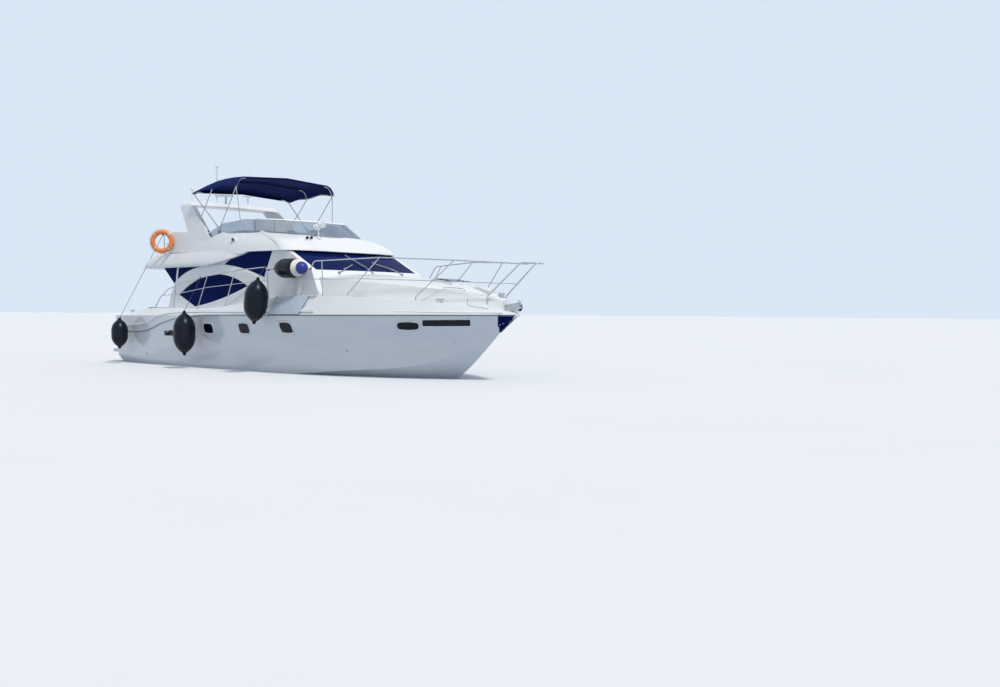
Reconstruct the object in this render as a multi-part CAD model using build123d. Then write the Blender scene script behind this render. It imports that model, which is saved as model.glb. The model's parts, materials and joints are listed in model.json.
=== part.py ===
from build123d import *
import os

# Flybridge motor yacht. +X to the bow, +Y to port, +Z up, millimetres.
# The origin is amidships on the centreline, on the waterline.

# Hull
sheer_mid = 1420            # height of the hull-to-deck joint amidships
sheer_slope = 0.0075        # its rise per millimetre towards the bow
transom_x = -6950
stem_x = 7230
widest = 2100                        # half the beam, which the strips' stand is reckoned at
deck_moulding = 30           # how far the black rail stands off the topsides

# Cockpit
cockpit_aft, cockpit_fore, cockpit_half = -6250, -4150, 1440
sole_z = 760
sole_thick = 80
gate_low, gate_high = 820, 1400      # opening through the transom, port side
moving_gap = 6                       # clearance around lids and gates
seat_gap = 0.3                       # between a curved strip and the skin that carries it
pin_r, pin_play = 8, 0.08

# Deckhouse
wall = 60
roof_z = 3060
saloon_floor = 900

# Flybridge
overhang_z, bridge_deck_z, coaming_z = 2720, 3110, 3640
bridge_wall = 110

# Tubes
rail_r, bow_tube_r = 14, 14


def mirrored(shape):
    return mirror(shape, about=Plane.XZ)


def pair(shape):
    return shape + mirrored(shape)


def sheer_height(x):
    return sheer_mid + sheer_slope * x


def station(x, points):
    """A closed outline across the boat at x, from the keel up one side and down the other."""
    other = [(-y, z) for y, z in reversed(points) if y > 0]
    return Plane.YZ.offset(x) * make_face(Polyline(*points, *other, close=True))


def side_prism(edges, low, high):
    """An outline in X and Z carried across the boat from y low to y high."""
    face = Plane.XZ * make_face(edges)
    return Pos(0, high, 0) * extrude(face, high - low)


def slab(x, y, z):
    """A box given by its low and high x, y and z."""
    size = (x[1] - x[0], y[1] - y[0], z[1] - z[0])
    return Pos(x[0], y[0], z[0]) * Box(*size, align=(Align.MIN,) * 3)


def rod(start, end, radius):
    start, end = Vector(*start), Vector(*end)
    run = end - start
    plane = Plane(origin=start, z_dir=run.normalized())
    return plane * Cylinder(radius, run.length, align=(Align.CENTER, Align.CENTER, Align.MIN))


def tube(points, radius, bend=120):
    """A round tube along straight runs joined by bends."""
    path = FilletPolyline(*points, radius=bend) if len(points) > 2 else Line(*points)
    first = Vector(*points[1]) - Vector(*points[0])
    start = Plane(origin=points[0], z_dir=first.normalized())
    return sweep(start * Circle(radius), path=path)


# The full outside of hull and deck, and the half breadths used by what stands on it.
# x, keel z, chine y, chine z, knuckle y, knuckle z, sheer y, deck edge y, deck edge z
hull_sections = (
    (-6950, -470, 1660, -90, 1900, 215, 1985, 1870, 1400),
    (-5800, -520, 1720, -90, 1950, 240, 2045, 1900, 1510),
    (-4300, -570, 1770, -90, 1985, 420, 2100, 1950, 1600),
    (-2000, -640, 1780, -70, 2010, 780, 2140, 1985, 1590),
    (1400, -660, 1640, 0, 1890, 860, 2110, 1950, 1880),
    (3900, -520, 1150, 200, 1400, 915, 1760, 1600, 1860),
    (5700, 210, 470, 560, 680, 960, 1050, 930, 1750),
    (6600, 975, 150, 1090, 240, 1150, 540, 450, 1640),
    (stem_x, 1445, 14, 1452, 22, 1460, 60, 40, 1530),
)


def hull_row(row):
    x, keel, chine_y, chine_z, knuckle_y, knuckle_z, sheer_y, edge_y, edge_z = row
    return station(x, [(0, keel), (chine_y, chine_z), (knuckle_y, knuckle_z),
                       (sheer_y, sheer_height(x)), (edge_y, edge_z)])


def between(x, column):
    """A column of the hull table at x, straight between its rows."""
    for low, high in zip(hull_sections, hull_sections[1:]):
        if x <= high[0]:
            share = (x - low[0]) / (high[0] - low[0])
            return low[column] + share * (high[column] - low[column])
    return hull_sections[-1][column]


def edge_point(x, inboard, rise, side=-1):
    """A point near the deck edge at x."""
    return (x, side * (between(x, 7) - inboard), between(x, 8) + rise)


# The trunk of the foredeck: x, base y, shoulder y, shoulder z, crown z
trunk_sections = (
    (1500, 1800, 1745, 2400, 2540),
    (3000, 1580, 1490, 2285, 2425),
    (4500, 1170, 1060, 2150, 2300),
    (5700, 720, 620, 2010, 2165),
    (6500, 400, 320, 1850, 1985),
    (6900, 220, 160, 1735, 1825),
)


def trunk_row(row):
    x, base_y, shoulder_y, shoulder_z, crown_z = row
    base_z = between(x, 8) - 60
    top = ThreePointArc((shoulder_y, shoulder_z), (0, crown_z), (-shoulder_y, shoulder_z))
    lower = Polyline((-shoulder_y, shoulder_z), (-base_y, base_z), (base_y, base_z),
                     (shoulder_y, shoulder_z))
    return Plane.YZ.offset(x) * make_face(top + lower)


# Deckhouse levels: z, aft y, corner x, corner y, nose x
house_levels = ((1400, 1680, 2700, 1740, 2960), (2500, 1640, 2200, 1755, 2400),
                (roof_z, 1560, 1090, 1690, 1290))


def house_shape(inset):
    faces = []
    for z, aft_y, corner_x, corner_y, nose_x in house_levels:
        aft = cockpit_fore + inset
        a, c = (aft, aft_y - inset), (corner_x - inset, corner_y - inset)
        nose = ThreePointArc(c, (nose_x - inset, 0), (c[0], -c[1]))
        sides = Polyline((c[0], -c[1]), (a[0], -a[1]), a, c)
        faces.append(Plane.XY.offset(z) * make_face(nose + sides))
    return loft(faces[:2], ruled=True) + loft(faces[1:], ruled=True)


# Window outlines seen from the side
def saloon_outline():
    tip, foot, nose = (-3940, 1960), (-3110, 1630), (-520, 2165)
    return (ThreePointArc(tip, (-2650, 2440), nose) + ThreePointArc(nose, (-1750, 1850), foot)
            + Line(foot, tip))


def quarter_outline():
    tip, shoulder, corner, low = (-1720, 2745), (-350, 3045), (480, 3030), (200, 2370)
    return (ThreePointArc(tip, (-1150, 2965), shoulder) + Line(shoulder, corner)
            + Line(corner, low) + ThreePointArc(low, (-700, 2600), tip))


def windshield_cutter():
    face = Plane.YZ.offset(400) * make_face(
        Polyline((-1600, 2530), (1600, 2530), (1590, 3020), (-1590, 3020), close=True))
    return extrude(face, 2400)


# The arched band over the saloon window, by its outer edge
band_foot, band_rise, band_crown, band_end = (-4620, 1500), (-4150, 2320), (-2700, 2725), (-60, 2385)


def band_outline():
    """The white band that springs from the side deck and arches over the saloon window."""
    low_end, low_foot = (300, 2150), (-4150, 1500)
    outer = (Line(band_foot, (-4480, 1790)) + ThreePointArc((-4480, 1790), (-4330, 2110), band_rise)
             + ThreePointArc(band_rise, (-3500, 2600), band_crown)
             + ThreePointArc(band_crown, (-1300, 2690), band_end))
    return outer + Polyline(band_end, low_end, (-520, 2080), (-2000, 1500), low_foot, band_foot)


def wedge_outline():
    """The glass between the band and the overhang, which narrows forward to nothing."""
    return (ThreePointArc((-4070, 2385), (-3450, 2615), (-2800, 2715))
            + Polyline((-2800, 2715), (-4070, 2715), (-4070, 2385)))


def side_window_cutter():
    made = side_prism(saloon_outline(), -2400, 2400) + side_prism(quarter_outline(), -2400, 2400)
    return made + side_prism(wedge_outline(), -2400, 2400)


full_body = loft([hull_row(row) for row in hull_sections])
house_outer = house_shape(0)
house_inner = house_shape(wall)

joint_plane = Plane(origin=(0, 0, sheer_mid), x_dir=(1, 0, sheer_slope), z_dir=(-sheer_slope, 0, 1))
above_joint = joint_plane * Box(20000, 6000, 3000, align=(Align.CENTER, Align.CENTER, Align.MIN))

engine_room = slab((-5950, -4250), (-1250, 1250), (-150, sole_z - sole_thick))
hatch_x, hatch_half = (-5600, -4700), 480
cockpit_well = slab((cockpit_aft, cockpit_fore + 1), (-cockpit_half, cockpit_half), (sole_z, 2600))
gate_well = slab((transom_x - 50, cockpit_aft + 1), (gate_low, gate_high), (sole_z, 2600))
door_half = 720
doorway = slab((cockpit_fore - 1, cockpit_fore + wall + 1), (-door_half, door_half), (saloon_floor, 2560))
saloon_well = slab((cockpit_fore + wall, 2000), (-1500, 1500), (saloon_floor, 2600))

# Propeller shafts and rudders
shaft_r, shaft_play = 25, 0.05
shaft_y = 720
shaft_in, shaft_out = (-4200, -280), (-6230, -760)
rudder_x, rudder_y, stock_r, stock_top = -6620, 720, 30, -200


def shaft_line(side, start, end, radius):
    return rod((start[0], side * shaft_y, start[1]), (end[0], side * shaft_y, end[1]), radius)


def along_shaft(x):
    share = (x - shaft_in[0]) / (shaft_out[0] - shaft_in[0])
    return (x, shaft_in[1] + share * (shaft_out[1] - shaft_in[1]))


def shallow_skin(depth):
    """The outermost layer of the topsides, from which shallow recesses are cut."""
    return full_body - scale(full_body, by=(1, 1 - depth / 2000, 1))


def hull_part():
    body = full_body - above_joint
    body -= cockpit_well + gate_well + saloon_well + engine_room + house_outer + doorway
    body -= slab(hatch_x, (-hatch_half, hatch_half), (sole_z - sole_thick - 1, sole_z + 1))
    intake = Polyline((-4130, 835), (-3800, 985), (-3480, 1010), (-3480, 830), close=True)
    body -= side_prism(intake, -2600, 2600) & shallow_skin(70)
    for side in (-1, 1):
        body -= shaft_line(side, shaft_in, shaft_out, shaft_r + shaft_play)
        body -= rod((rudder_x, side * rudder_y, -900), (rudder_x, side * rudder_y, stock_top),
                    stock_r + shaft_play)
    return body


def deck_part():
    body = (full_body & above_joint) + bow_trunk
    body -= cockpit_well + gate_well + saloon_well + house_outer + doorway
    boarding = Polyline((980, 1490), (1600, 1890), (2550, 1890), (2045, 1490), close=True)
    return body - (side_prism(boarding, -2600, 2600) & shallow_skin(45))


def hull_strip(points, width, stand):
    """A band on the topsides that follows a side view of points and stands proud of them."""
    upper = Spline(*[(x, z + width / 2) for x, z in points])
    lower = Spline(*[(x, z - width / 2) for x, z in points])
    outline = upper + lower + Line(upper @ 0, lower @ 0) + Line(upper @ 1, lower @ 1)
    prouder, skin = [scale(full_body, by=(1 + off / stem_x, 1 + off / widest, 1))
                     for off in (stand, seat_gap)]
    return (prouder & side_prism(outline, -2600, 2600)) - skin


quarter_sweep = ((-6880, 905), (-5500, 920), (-4900, 985), (-4300, 1140), (-3500, 1290), (-2400, 1380))
shoulder_sweep = ((-6880, 1085), (-6000, 1090), (-5100, 1165), (-4650, 1285), (-4200, 1410),
                  (-3500, 1490), (-2600, 1512))


def rub_rail_part():
    """The black rail on the sheer, which swoops down along each quarter."""
    along = [(x, sheer_height(x)) for x in (-1500, 0, 2000, 4000, 6000, 7220)]
    return hull_strip([*quarter_sweep, *along], 22, deck_moulding)


def quarter_mouldings_part():
    """The white moulding above the black rail, which ends at the transom well below the deck edge."""
    along = [(x, sheer_height(x) + 112) for x in (-1500, 500, 2600)]
    return hull_strip([*shoulder_sweep, *along], 62, 26)


def deckhouse_part():
    body = house_outer - house_inner
    band = side_prism(band_outline(), 1500, 1800)
    raised = (band & (house_shape(-22) - house_outer)) - full_body - bow_trunk - bridge_body
    wing = (band & slab((-4700, cockpit_fore), (1590, 1650), (1500, 2330))) - full_body
    body += pair(raised + wing)
    body -= windshield_cutter() + side_window_cutter()
    body -= doorway
    return body


def glass_layer():
    return house_shape(14) - house_shape(26)


def windshield_part():
    return glass_layer() & windshield_cutter()


def side_glass_part():
    return glass_layer() & side_window_cutter()


def aft_wings_part():
    """Tinted wing panes that close the corners under the overhang."""
    outline = Polyline((cockpit_fore - 0.3, overhang_z), (-4840, overhang_z), (-4255, 2245),
                       (cockpit_fore - 0.3, 2345), close=True)
    wing = side_prism(band_outline(), 1500, 1800)
    return pair(side_prism(outline, 1600, 1615) - wing)


door_y, door_height = (-700, 20), (sole_z + 40, 2540)


def saloon_door_part():
    """The sliding leaf behind the fixed one, hung from the track above the doorway."""
    frame = slab((cockpit_fore - 50, cockpit_fore - 20), door_y, door_height)
    frame -= slab((cockpit_fore - 60, cockpit_fore), (door_y[0] + 60, door_y[1] - 60),
                  (door_height[0] + 70, door_height[1] - 60))
    pane = slab((cockpit_fore - 40, cockpit_fore - 30), (door_y[0] + 60, door_y[1] - 60),
                (door_height[0] + 70, door_height[1] - 60))
    hanger = slab((cockpit_fore - 42, cockpit_fore - 28), (door_y[0] + 100, door_y[1] - 100),
                  (door_height[1] - 1, door_height[1] + 40))
    return frame + pane + hanger


def door_track_part():
    track = slab((cockpit_fore - 64, cockpit_fore), (-780, 1400), (door_height[1] + 10, door_height[1] + 70))
    track -= slab((cockpit_fore - 47.5, cockpit_fore - 22.5), (-770, 1390),
                  (door_height[1], door_height[1] + 45.5))
    sill = slab((cockpit_fore - 60, cockpit_fore), (-780, 1400), (sole_z, door_height[0] - 0.3))
    return track + sill


def fixed_pane_part():
    frame = slab((cockpit_fore + 15, cockpit_fore + 45), (40, door_half), (saloon_floor, 2560))
    hole = ((100, 660), (saloon_floor + 70, 2500))
    frame -= slab((cockpit_fore, cockpit_fore + 60), *hole)
    return frame + slab((cockpit_fore + 25, cockpit_fore + 35), *hole)


# Plans of the bridge: aft x and y, side x and y, widest y, shoulder x and y, front x and y, nose x
rim_low = (-6080, 1250, -5450, 1720, 1800, 300, 1700, 1130, 1000, 1240)
rim_high = (-5650, 1180, -5150, 1600, 1690, 300, 1640, 1130, 1000, 1240)
coaming_foot = (-5480, 1180, -5000, 1590, 1700, 900, 1800, 1300, 1690, 1500)
coaming_waist = (-5450, 1160, -4980, 1570, 1660, 620, 1690, 1230, 1330, 1400)
coaming_brow = (-5430, 1150, -4970, 1550, 1620, 280, 1600, 950, 1160, 1110)
coaming_head = (-5400, 1130, -4950, 1530, 1570, -700, 1330, 120, 700, 330)
screen_foot = (-5420, 1143, -4963, 1543, 1603, -133, 1483, 607, 933, 783)
screen_head = (-5400, 1060, -4950, 1440, 1480, -900, 1240, -60, 620, 120)


def inset(row, wall_width):
    """The same plan, drawn in by one wall."""
    aft_x, aft_y, side_x, side_y, wide_y, turn_x, turn_y, front_x, front_y, nose_x = row
    w = wall_width
    return (aft_x + w, aft_y - 0.4 * w, side_x + 0.3 * w, side_y - w, wide_y - w, turn_x - 0.3 * w,
            turn_y - w, front_x - 0.9 * w, front_y - 0.4 * w, nose_x - w)


def part_way(low, high, share):
    return tuple(a + share * (b - a) for a, b in zip(low, high))


def bridge_plan(z, row):
    """Round stern corners, bowed sides, round front corners and a round nose."""
    aft_x, aft_y, side_x, side_y, wide_y, turn_x, turn_y, front_x, front_y, nose_x = row
    stern = ((3 * aft_x + side_x) / 4, (aft_y + 3 * side_y) / 4)
    waist = ((side_x + turn_x) / 2, wide_y)
    corner = ((turn_x + 3 * front_x) / 4, (3 * turn_y + front_y) / 4)
    port = (ThreePointArc((aft_x, aft_y), stern, (side_x, side_y))
            + ThreePointArc((side_x, side_y), waist, (turn_x, turn_y))
            + ThreePointArc((turn_x, turn_y), corner, (front_x, front_y)))
    ends = Line((aft_x, -aft_y), (aft_x, aft_y)) + ThreePointArc((front_x, front_y), (nose_x, 0),
                                                                  (front_x, -front_y))
    return Plane.XY.offset(z) * make_face(port + mirror(port, about=Plane.XZ) + ends)


def coaming_profile():
    low, high = 3000, 4000
    return Polyline((-5700, low), (-5700, 2990), (1500, 2990), (1500, 3030), (640, 3490), (-360, 3590),
                    (-1300, 3630), (-2000, 3610), (-2700, 3430), (-3460, 3280), (-4150, 3170),
                    (-5100, 3130), (-5450, 3060), (-5700, 3030), close=True)


def lip_profile():
    """What stands above the upswept lower edge of the bridge, seen from the side."""
    start, middle, end = (-2350, overhang_z + 20), (-1500, 2850), (-500, 3045)
    return (Polyline((-6200, overhang_z - 10), (-2350, overhang_z - 10), start)
            + ThreePointArc(start, middle, end)
            + Polyline(end, (1500, 3028), (1500, 4000), (-6200, 4000), (-6200, overhang_z - 10)))


stair_x, stair_y = (-5350, -4400), (720, 1320)


def flybridge_part():
    # height above the underside, share of the way from the low plan to the high one
    rim = loft([bridge_plan(overhang_z + rise, part_way(rim_low, rim_high, share))
                for rise, share in ((0, 0.2), (50, 0), (170, 0.18), (290, 0.6), (390, 1))])
    coaming = loft([bridge_plan(3000, coaming_foot), bridge_plan(3200, coaming_waist),
                    bridge_plan(3340, coaming_brow), bridge_plan(coaming_z, coaming_head)])
    coaming &= side_prism(coaming_profile(), -2000, 2000)
    body = (rim + coaming) & side_prism(lip_profile(), -2000, 2000)
    body -= house_outer
    well = extrude(bridge_plan(bridge_deck_z, inset(coaming_head, bridge_wall)), 900)
    return body - well - slab(stair_x, stair_y, (2600, 3300))


def windscreen_part():
    """The smoked screen on the coaming, leaning aft."""
    low, high, thick = 3440, 3990, 12
    feet, heads = [[inset(row, gap) for gap in gaps] for row, gaps in
                   ((screen_foot, (30, 30 + thick)), (screen_head, (0, thick)))]
    outer, inner = [loft([bridge_plan(low, foot), bridge_plan(high, head)], ruled=True)
                    for foot, head in zip(feet, heads)]
    profile = Polyline((-2780, 3580), (-2100, 3860), (-1250, 3960), (480, 3860), (900, 3780), (900, 3400),
                       (-2780, 3400), close=True)
    return ((outer - inner) & side_prism(profile, -2000, 2000)) - bridge_body


def helm_console_part():
    profile = Polyline((-250, bridge_deck_z), (180, bridge_deck_z), (180, 3450), (90, 3560), (-80, 3580),
                       (-250, 3480), close=True)
    return side_prism(profile, -850, 250) - bridge_body - screen_body


wheel_foot, wheel_axis, wheel_reach, wheel_r = (-250, -560, 3400), (-0.866, 0, 0.5), 110, 190


def helm_bore():
    start = Vector(*wheel_foot) - Vector(*wheel_axis) * 60
    return rod(start, Vector(*wheel_foot) + Vector(*wheel_axis) * 20, 12 + pin_play)


def helm_wheel_part():
    hub = Vector(*wheel_foot) + Vector(*wheel_axis) * wheel_reach
    plane = Plane(origin=hub, x_dir=(0, 1, 0), z_dir=wheel_axis)
    wheel = plane * Torus(wheel_r, 14) + plane * Cylinder(34, 40)
    for turn in (90, 210, 330):
        wheel += plane * Rot(0, 0, turn) * Pos(wheel_r / 2, 0, 0) * Box(wheel_r, 26, 10)
    return wheel + rod(Vector(*wheel_foot) - Vector(*wheel_axis) * 55, hub, 12)


def helm_seat_part():
    base = slab((-1150, -750), (-1050, 100), (bridge_deck_z, 3440))
    cushion = fillet(slab((-1180, -700), (-1080, 130), (3440, 3560)).edges(), 35)
    back = fillet(slab((-1240, -1120), (-1080, 130), (3500, 3950)).edges(), 35)
    return base + cushion + back


def settee_part():
    """An L of seats along the port side and across the back of the bridge."""
    seat_x, seat_y = (-3300, -1650), (760, 1240)
    base = slab(seat_x, seat_y, (bridge_deck_z, 3390))
    cushion = fillet(slab(seat_x, seat_y, (3390, 3500)).edges(), 30)
    back = fillet(slab(seat_x, (seat_y[1] - 90, seat_y[1] + 30), (3450, 3740)).edges(), 30)
    end = fillet(slab((seat_x[0] - 100, seat_x[0] + 20), (200, 1250), (3300, 3740)).edges(), 30)
    end_base = slab((seat_x[0] - 80, seat_x[0] + 480), (200, 830), (bridge_deck_z, 3390))
    end_cushion = fillet(slab((seat_x[0] - 30, seat_x[0] + 480), (200, 840), (3390, 3500)).edges(), 30)
    return base + cushion + back + end_base + end_cushion + end


def radar_arch_part():
    """A leg each side, raked aft, and the beam across, all cut from one side view."""
    side = Polyline((-2470, 3440), (-3840, 4575), (-4250, 4575), (-4300, 4490), (-3680, 3690),
                    (-4500, 3725), (-4560, 3660), (-4560, 3140), (-2470, 3140), close=True)
    outer = Polyline((-1640, 3140), (-1420, 4580), (1420, 4580), (1640, 3140), close=True)
    inner = Polyline((-1530, 3000), (-1315, 4445), (1315, 4445), (1530, 3000), close=True)
    shape = fillet(make_face(outer).vertices().group_by(Axis.Y)[-1], 190)
    hole = fillet(make_face(inner).vertices().group_by(Axis.Y)[-1], 90)
    start = Plane.YZ.offset(-5000)
    ring = extrude(start * shape, 2800) - extrude(start * hole, 2800)
    hook = rod((-4310, -1540, 3450), (-4360, -1720, 3450), 9)
    return (ring & side_prism(side, -2000, 2000)) + hook - bridge_body - screen_body


def antennas_part():
    top = 4575
    stack = rod((-4050, -410, top), (-4050, -410, 5660), 14)
    for z in (5300, 5380, 5460, 5540):
        stack += Pos(-4050, -410, z) * Cylinder(32, 34)
    stack += Pos(-4050, -410, 5640) * Cylinder(36, 60)
    large = Pos(-4050, -180, 4925) * Cylinder(275, 70) + rod((-4050, -110, top), (-4050, -110, 4900), 30)
    small = Pos(-4050, 630, 4945) * Cylinder(165, 60) + rod((-4050, 630, top), (-4050, 630, 4920), 16)
    whip = rod((-4000, 1100, top), (-4600, 1100, 5850), 10)
    light = rod((-4150, -1000, top), (-4150, -1000, 4950), 12) + Pos(-4150, -1000, 4980) * Sphere(48)
    return stack + large + small + whip + light - arch_body


# Bimini bows: x, height at the sides, height at the crown
canopy_half, cloth = 1600, 16
canopy_bows = ((-3400, 4720, 4880), (-2450, 4780, 5120), (-1230, 4780, 5130))
canopy_shoulder, shoulder_drop, shoulder_bend = 110, 95, 260
bow_drop = bow_tube_r + 0.6          # the cloth rests on the middle bow
pivot = (-2200, 1490, 3712)


def canopy_points(side_z, crown_z, inward):
    """The line over one bow from side to side, drawn in by some millimetres."""
    low_y, high_y = canopy_half - inward, canopy_half - canopy_shoulder - inward
    return [(low_y, side_z), (high_y, crown_z - shoulder_drop - inward), (0, crown_z - inward),
            (-high_y, crown_z - shoulder_drop - inward), (-low_y, side_z)]


def canopy_part():
    faces = []
    for x, side_z, crown_z in canopy_bows:
        top = FilletPolyline(*canopy_points(side_z, crown_z, 0), radius=shoulder_bend)
        under = FilletPolyline(*canopy_points(side_z, crown_z, cloth), radius=shoulder_bend - cloth)
        ends = Line(top @ 0, under @ 0) + Line(top @ 1, under @ 1)
        faces.append(Plane.YZ.offset(x) * make_face(top + under + ends))
    return loft(faces)


def bow(x, side_z, crown_z, foot):
    """One hoop under the cloth, with its leg to each side."""
    ends_z = side_z - bow_tube_r
    line = [(x, y, z) for y, z in canopy_points(ends_z, crown_z, cloth + bow_drop)]
    hoop = tube(line, bow_tube_r, shoulder_bend - cloth - bow_drop)
    leg = Pos(*line[0]) * Sphere(bow_tube_r + 2.5) + rod(line[0], foot, bow_tube_r - 1.5)
    return hoop + pair(leg)


def bimini_frame_part():
    (aft_x, *aft), (mid_x, *mid), (fore_x, *fore) = canopy_bows
    frame = bow(aft_x + 60, *aft, pivot) + bow(fore_x - 60, *fore, pivot)
    frame += bow(mid_x, *mid, (-3140, 1500, 4010))
    head_y = canopy_half - cloth - bow_drop
    strut = rod((fore_x - 60, head_y, fore[0]), (-1150, 1475, 3500), 11)
    foot = slab((pivot[0] - 45, pivot[0] + 45), (pivot[1] - 18, pivot[1] + 18), (3400, pivot[2] + 25))
    frame += pair(strut) + pair(foot)
    return frame - bridge_body - screen_body - arch_body


# Bow rail, port half: the top run, the pulpit hoop, then stanchions
def bow_rail_part():
    top = [edge_point(1850, 60, -10, 1), (2280, 1950, 2350), (2560, 1960, 2710), (4370, 1500, 2760),
           (6050, 780, 2680), (7300, 265, 2600)]
    hoop = [(6600, 300, 1600), (6620, 300, 1900), (7540, 240, 2605), (7900, 110, 2590), (7900, -110, 2590),
            (7540, -240, 2605), (6620, -300, 1900), (6600, -300, 1600)]
    middle = [(2230, 1945, 2290), (4000, 1610, 2280), (5500, 1010, 2230), (7000, 288, 2170)]
    rail = pair(tube(top, rail_r, 140)) + tube(hoop, 16, 70)
    rail += pair(tube(middle, 9, 300))
    # head x, y and z, foot x
    for head_x, head_y, head_z, foot_x in ((4370, 1500, 2760, 3350), (6050, 780, 2680, 5100),
                                           (2800, 1915, 2715, 2535)):
        foot = edge_point(foot_x, 90, -12, 1)
        knee = (foot[0] + 10, foot[1], foot[2] + 100)
        rail += pair(tube([foot, knee, (head_x, head_y, head_z)], 12, 50))
    return rail - full_body - bow_trunk


def side_rails_part():
    top = [edge_point(-4950, 60, -20, 1), (-4550, 1895, 1900), (-4080, 1925, 2110), (-3500, 1930, 2240),
           (-2070, 1950, 2440), (-520, 1945, 2570), (620, 1940, 2620), (700, 1935, 1800)]
    middle = [(-4480, 1899, 1930), (-3500, 1935, 1990), (-2070, 1950, 2140), (640, 1940, 2290)]
    rail = tube(top, rail_r, 90) + tube(middle, 9, 200)
    for head_x, head_z, foot_x in ((-3650, 2205, -3850), (-2060, 2440, -2600), (-760, 2550, -1270)):
        rail += tube([edge_point(foot_x, 60, -12, 1), (head_x, 1945, head_z)], 12)
    return pair(rail - full_body)


def bridge_rail_part():
    top = [(-4540, 1545, 3640), (-4700, 1545, 3700), (-5050, 1520, 3720), (-5440, 1200, 3720),
           (-5440, -1200, 3720), (-5050, -1520, 3720), (-4700, -1545, 3700), (-4540, -1545, 3640)]
    rail = tube(top, rail_r, 160)
    for x, y in ((-5150, 1438), (-5440, 900), (-5440, 0)):
        post = rod((x, y, 3020), (x, y, 3716), 12)
        rail += pair(post) if y else post
    middle = [(-4540, 1550, 3420), (-5050, 1520, 3420), (-5440, 1200, 3420), (-5440, -1200, 3420),
              (-5050, -1520, 3420), (-4540, -1550, 3420)]
    return rail + tube(middle, 8, 160) - bridge_body - arch_body


def lifebuoy_part():
    plane = Plane(origin=(-4520, -1860, 3450), z_dir=(0.70, -0.714, 0))
    return plane * Torus(262, 66)


def anchor_roller_part():
    cheek = Polyline((6900, 1560), (7290, 1560), (7340, 1620), (7340, 1690), (7270, 1750), (6900, 1700),
                     close=True)
    plates = pair(side_prism(cheek, 45, 55))
    floor = slab((6880, 7270), (-55, 55), (1558, 1570))
    wheel = Pos(7290, 0, 1650) * Rot(90, 0, 0) * Cylinder(38, 89)
    lamp = Pos(7300, 0, 1785) * Sphere(42) + Pos(7300, 0, 1735) * Cylinder(22, 60)
    bridge = slab((7250, 7335), (-55, 55), (1688, 1708))
    return plates + floor + wheel + bridge + lamp - full_body - bow_trunk


def anchor_part():
    """A small plough on its shank, home on the roller."""
    shank = side_prism(Polyline((6960, 1650), (7200, 1650), (7235, 1702), (7200, 1714), (6960, 1676),
                                close=True), -12, 12)
    stock = side_prism(Polyline((6960, 1572), (6990, 1572), (6990, 1690), (6960, 1690), close=True), -20, 20)
    return (shank + stock) - anchor_roller_part() - full_body - bow_trunk


def windlass_part():
    base = Pos(6760, 0, 1800) * Cylinder(85, 160)
    drum = Pos(6760, 0, 1910) * Cylinder(60, 70)
    cap = Pos(6760, 0, 1955) * Cylinder(75, 22)
    return base + drum + cap - full_body - bow_trunk


# Mooring cleats: x, distance in from the deck edge
cleat_places = ((5650, 110), (-300, 90), (-6350, 110))


def cleats_part():
    made = None
    for x, inboard in cleat_places:
        spot = Pos(*edge_point(x, inboard, 0, 1))
        horn = spot * Pos(0, 0, 62) * Rot(0, 90, 0) * Cylinder(12, 260)
        legs = spot * Pos(-45, 0, 20) * Cylinder(13, 90) + spot * Pos(45, 0, 20) * Cylinder(13, 90)
        made = horn + legs if made is None else made + horn + legs
    return pair(made) - full_body - bow_trunk


# Hinged lids: low x, high x, half width, top height at the middle, tilt down towards the bow
hatch_lid = (4900, 5500, 300, 2275, 6.7)
locker_lid = (6130, 6560, 160, 2052, 15)


def lid_plane(lid):
    low_x, high_x, half, top, tilt = lid
    return Plane(origin=((low_x + high_x) / 2, 0, top)).rotated((0, tilt, 0))


def lid_well(lid, depth=260):
    low_x, high_x, half, top, tilt = lid
    length = high_x - low_x
    plane = lid_plane(lid)
    low_face = (Align.CENTER, Align.CENTER, Align.MIN)
    high_face = (Align.CENTER, Align.CENTER, Align.MAX)
    seat = plane * Pos(0, 0, -38) * Box(length + 2 * moving_gap, 2 * (half + moving_gap), 300, align=low_face)
    shaft = plane * Box(length - 60, 2 * half - 60, depth, align=high_face)
    return seat + shaft


def lid_frame(lid):
    """The upstand round a lid, which carries its hinge."""
    low_x, high_x, half, top, tilt = lid
    return lid_plane(lid) * Pos(0, 0, -12) * Box(high_x - low_x + 90, 2 * half + 90, 120,
                                                 align=(Align.CENTER, Align.CENTER, Align.MAX))


def lid_hinge(lid, at_bow):
    """Two pin ends in ears on the frame, and the knuckle that the lid turns on."""
    low_x, high_x, half, top, tilt = lid
    reach = (high_x - low_x) / 2 + 24
    side = 1 if at_bow else -1
    plane = lid_plane(lid)
    axis = plane * Pos(side * reach, 0, 2)
    pin = axis * Rot(90, 0, 0) * Cylinder(pin_r, 150)
    ears = axis * Pos(0, -68, -14) * Box(28, 20, 50) + axis * Pos(0, 68, -14) * Box(28, 20, 50)
    arm = plane * Pos(side * (reach - 17), 0, -4) * Box(14, 100, 12)
    barrel = Cylinder(14, 100) - Cylinder(pin_r + pin_play, 200)
    leaf = (arm - axis * Rot(90, 0, 0) * Cylinder(13, 200)) + axis * Rot(90, 0, 0) * barrel
    return pin + ears, leaf


def lid_part(lid, at_bow):
    low_x, high_x, half, top, tilt = lid
    plate = lid_plane(lid) * Pos(0, 0, -32) * Box(high_x - low_x, 2 * half, 36,
                                                  align=(Align.CENTER, Align.CENTER, Align.MIN))
    return plate + lid_hinge(lid, at_bow)[1]


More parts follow.
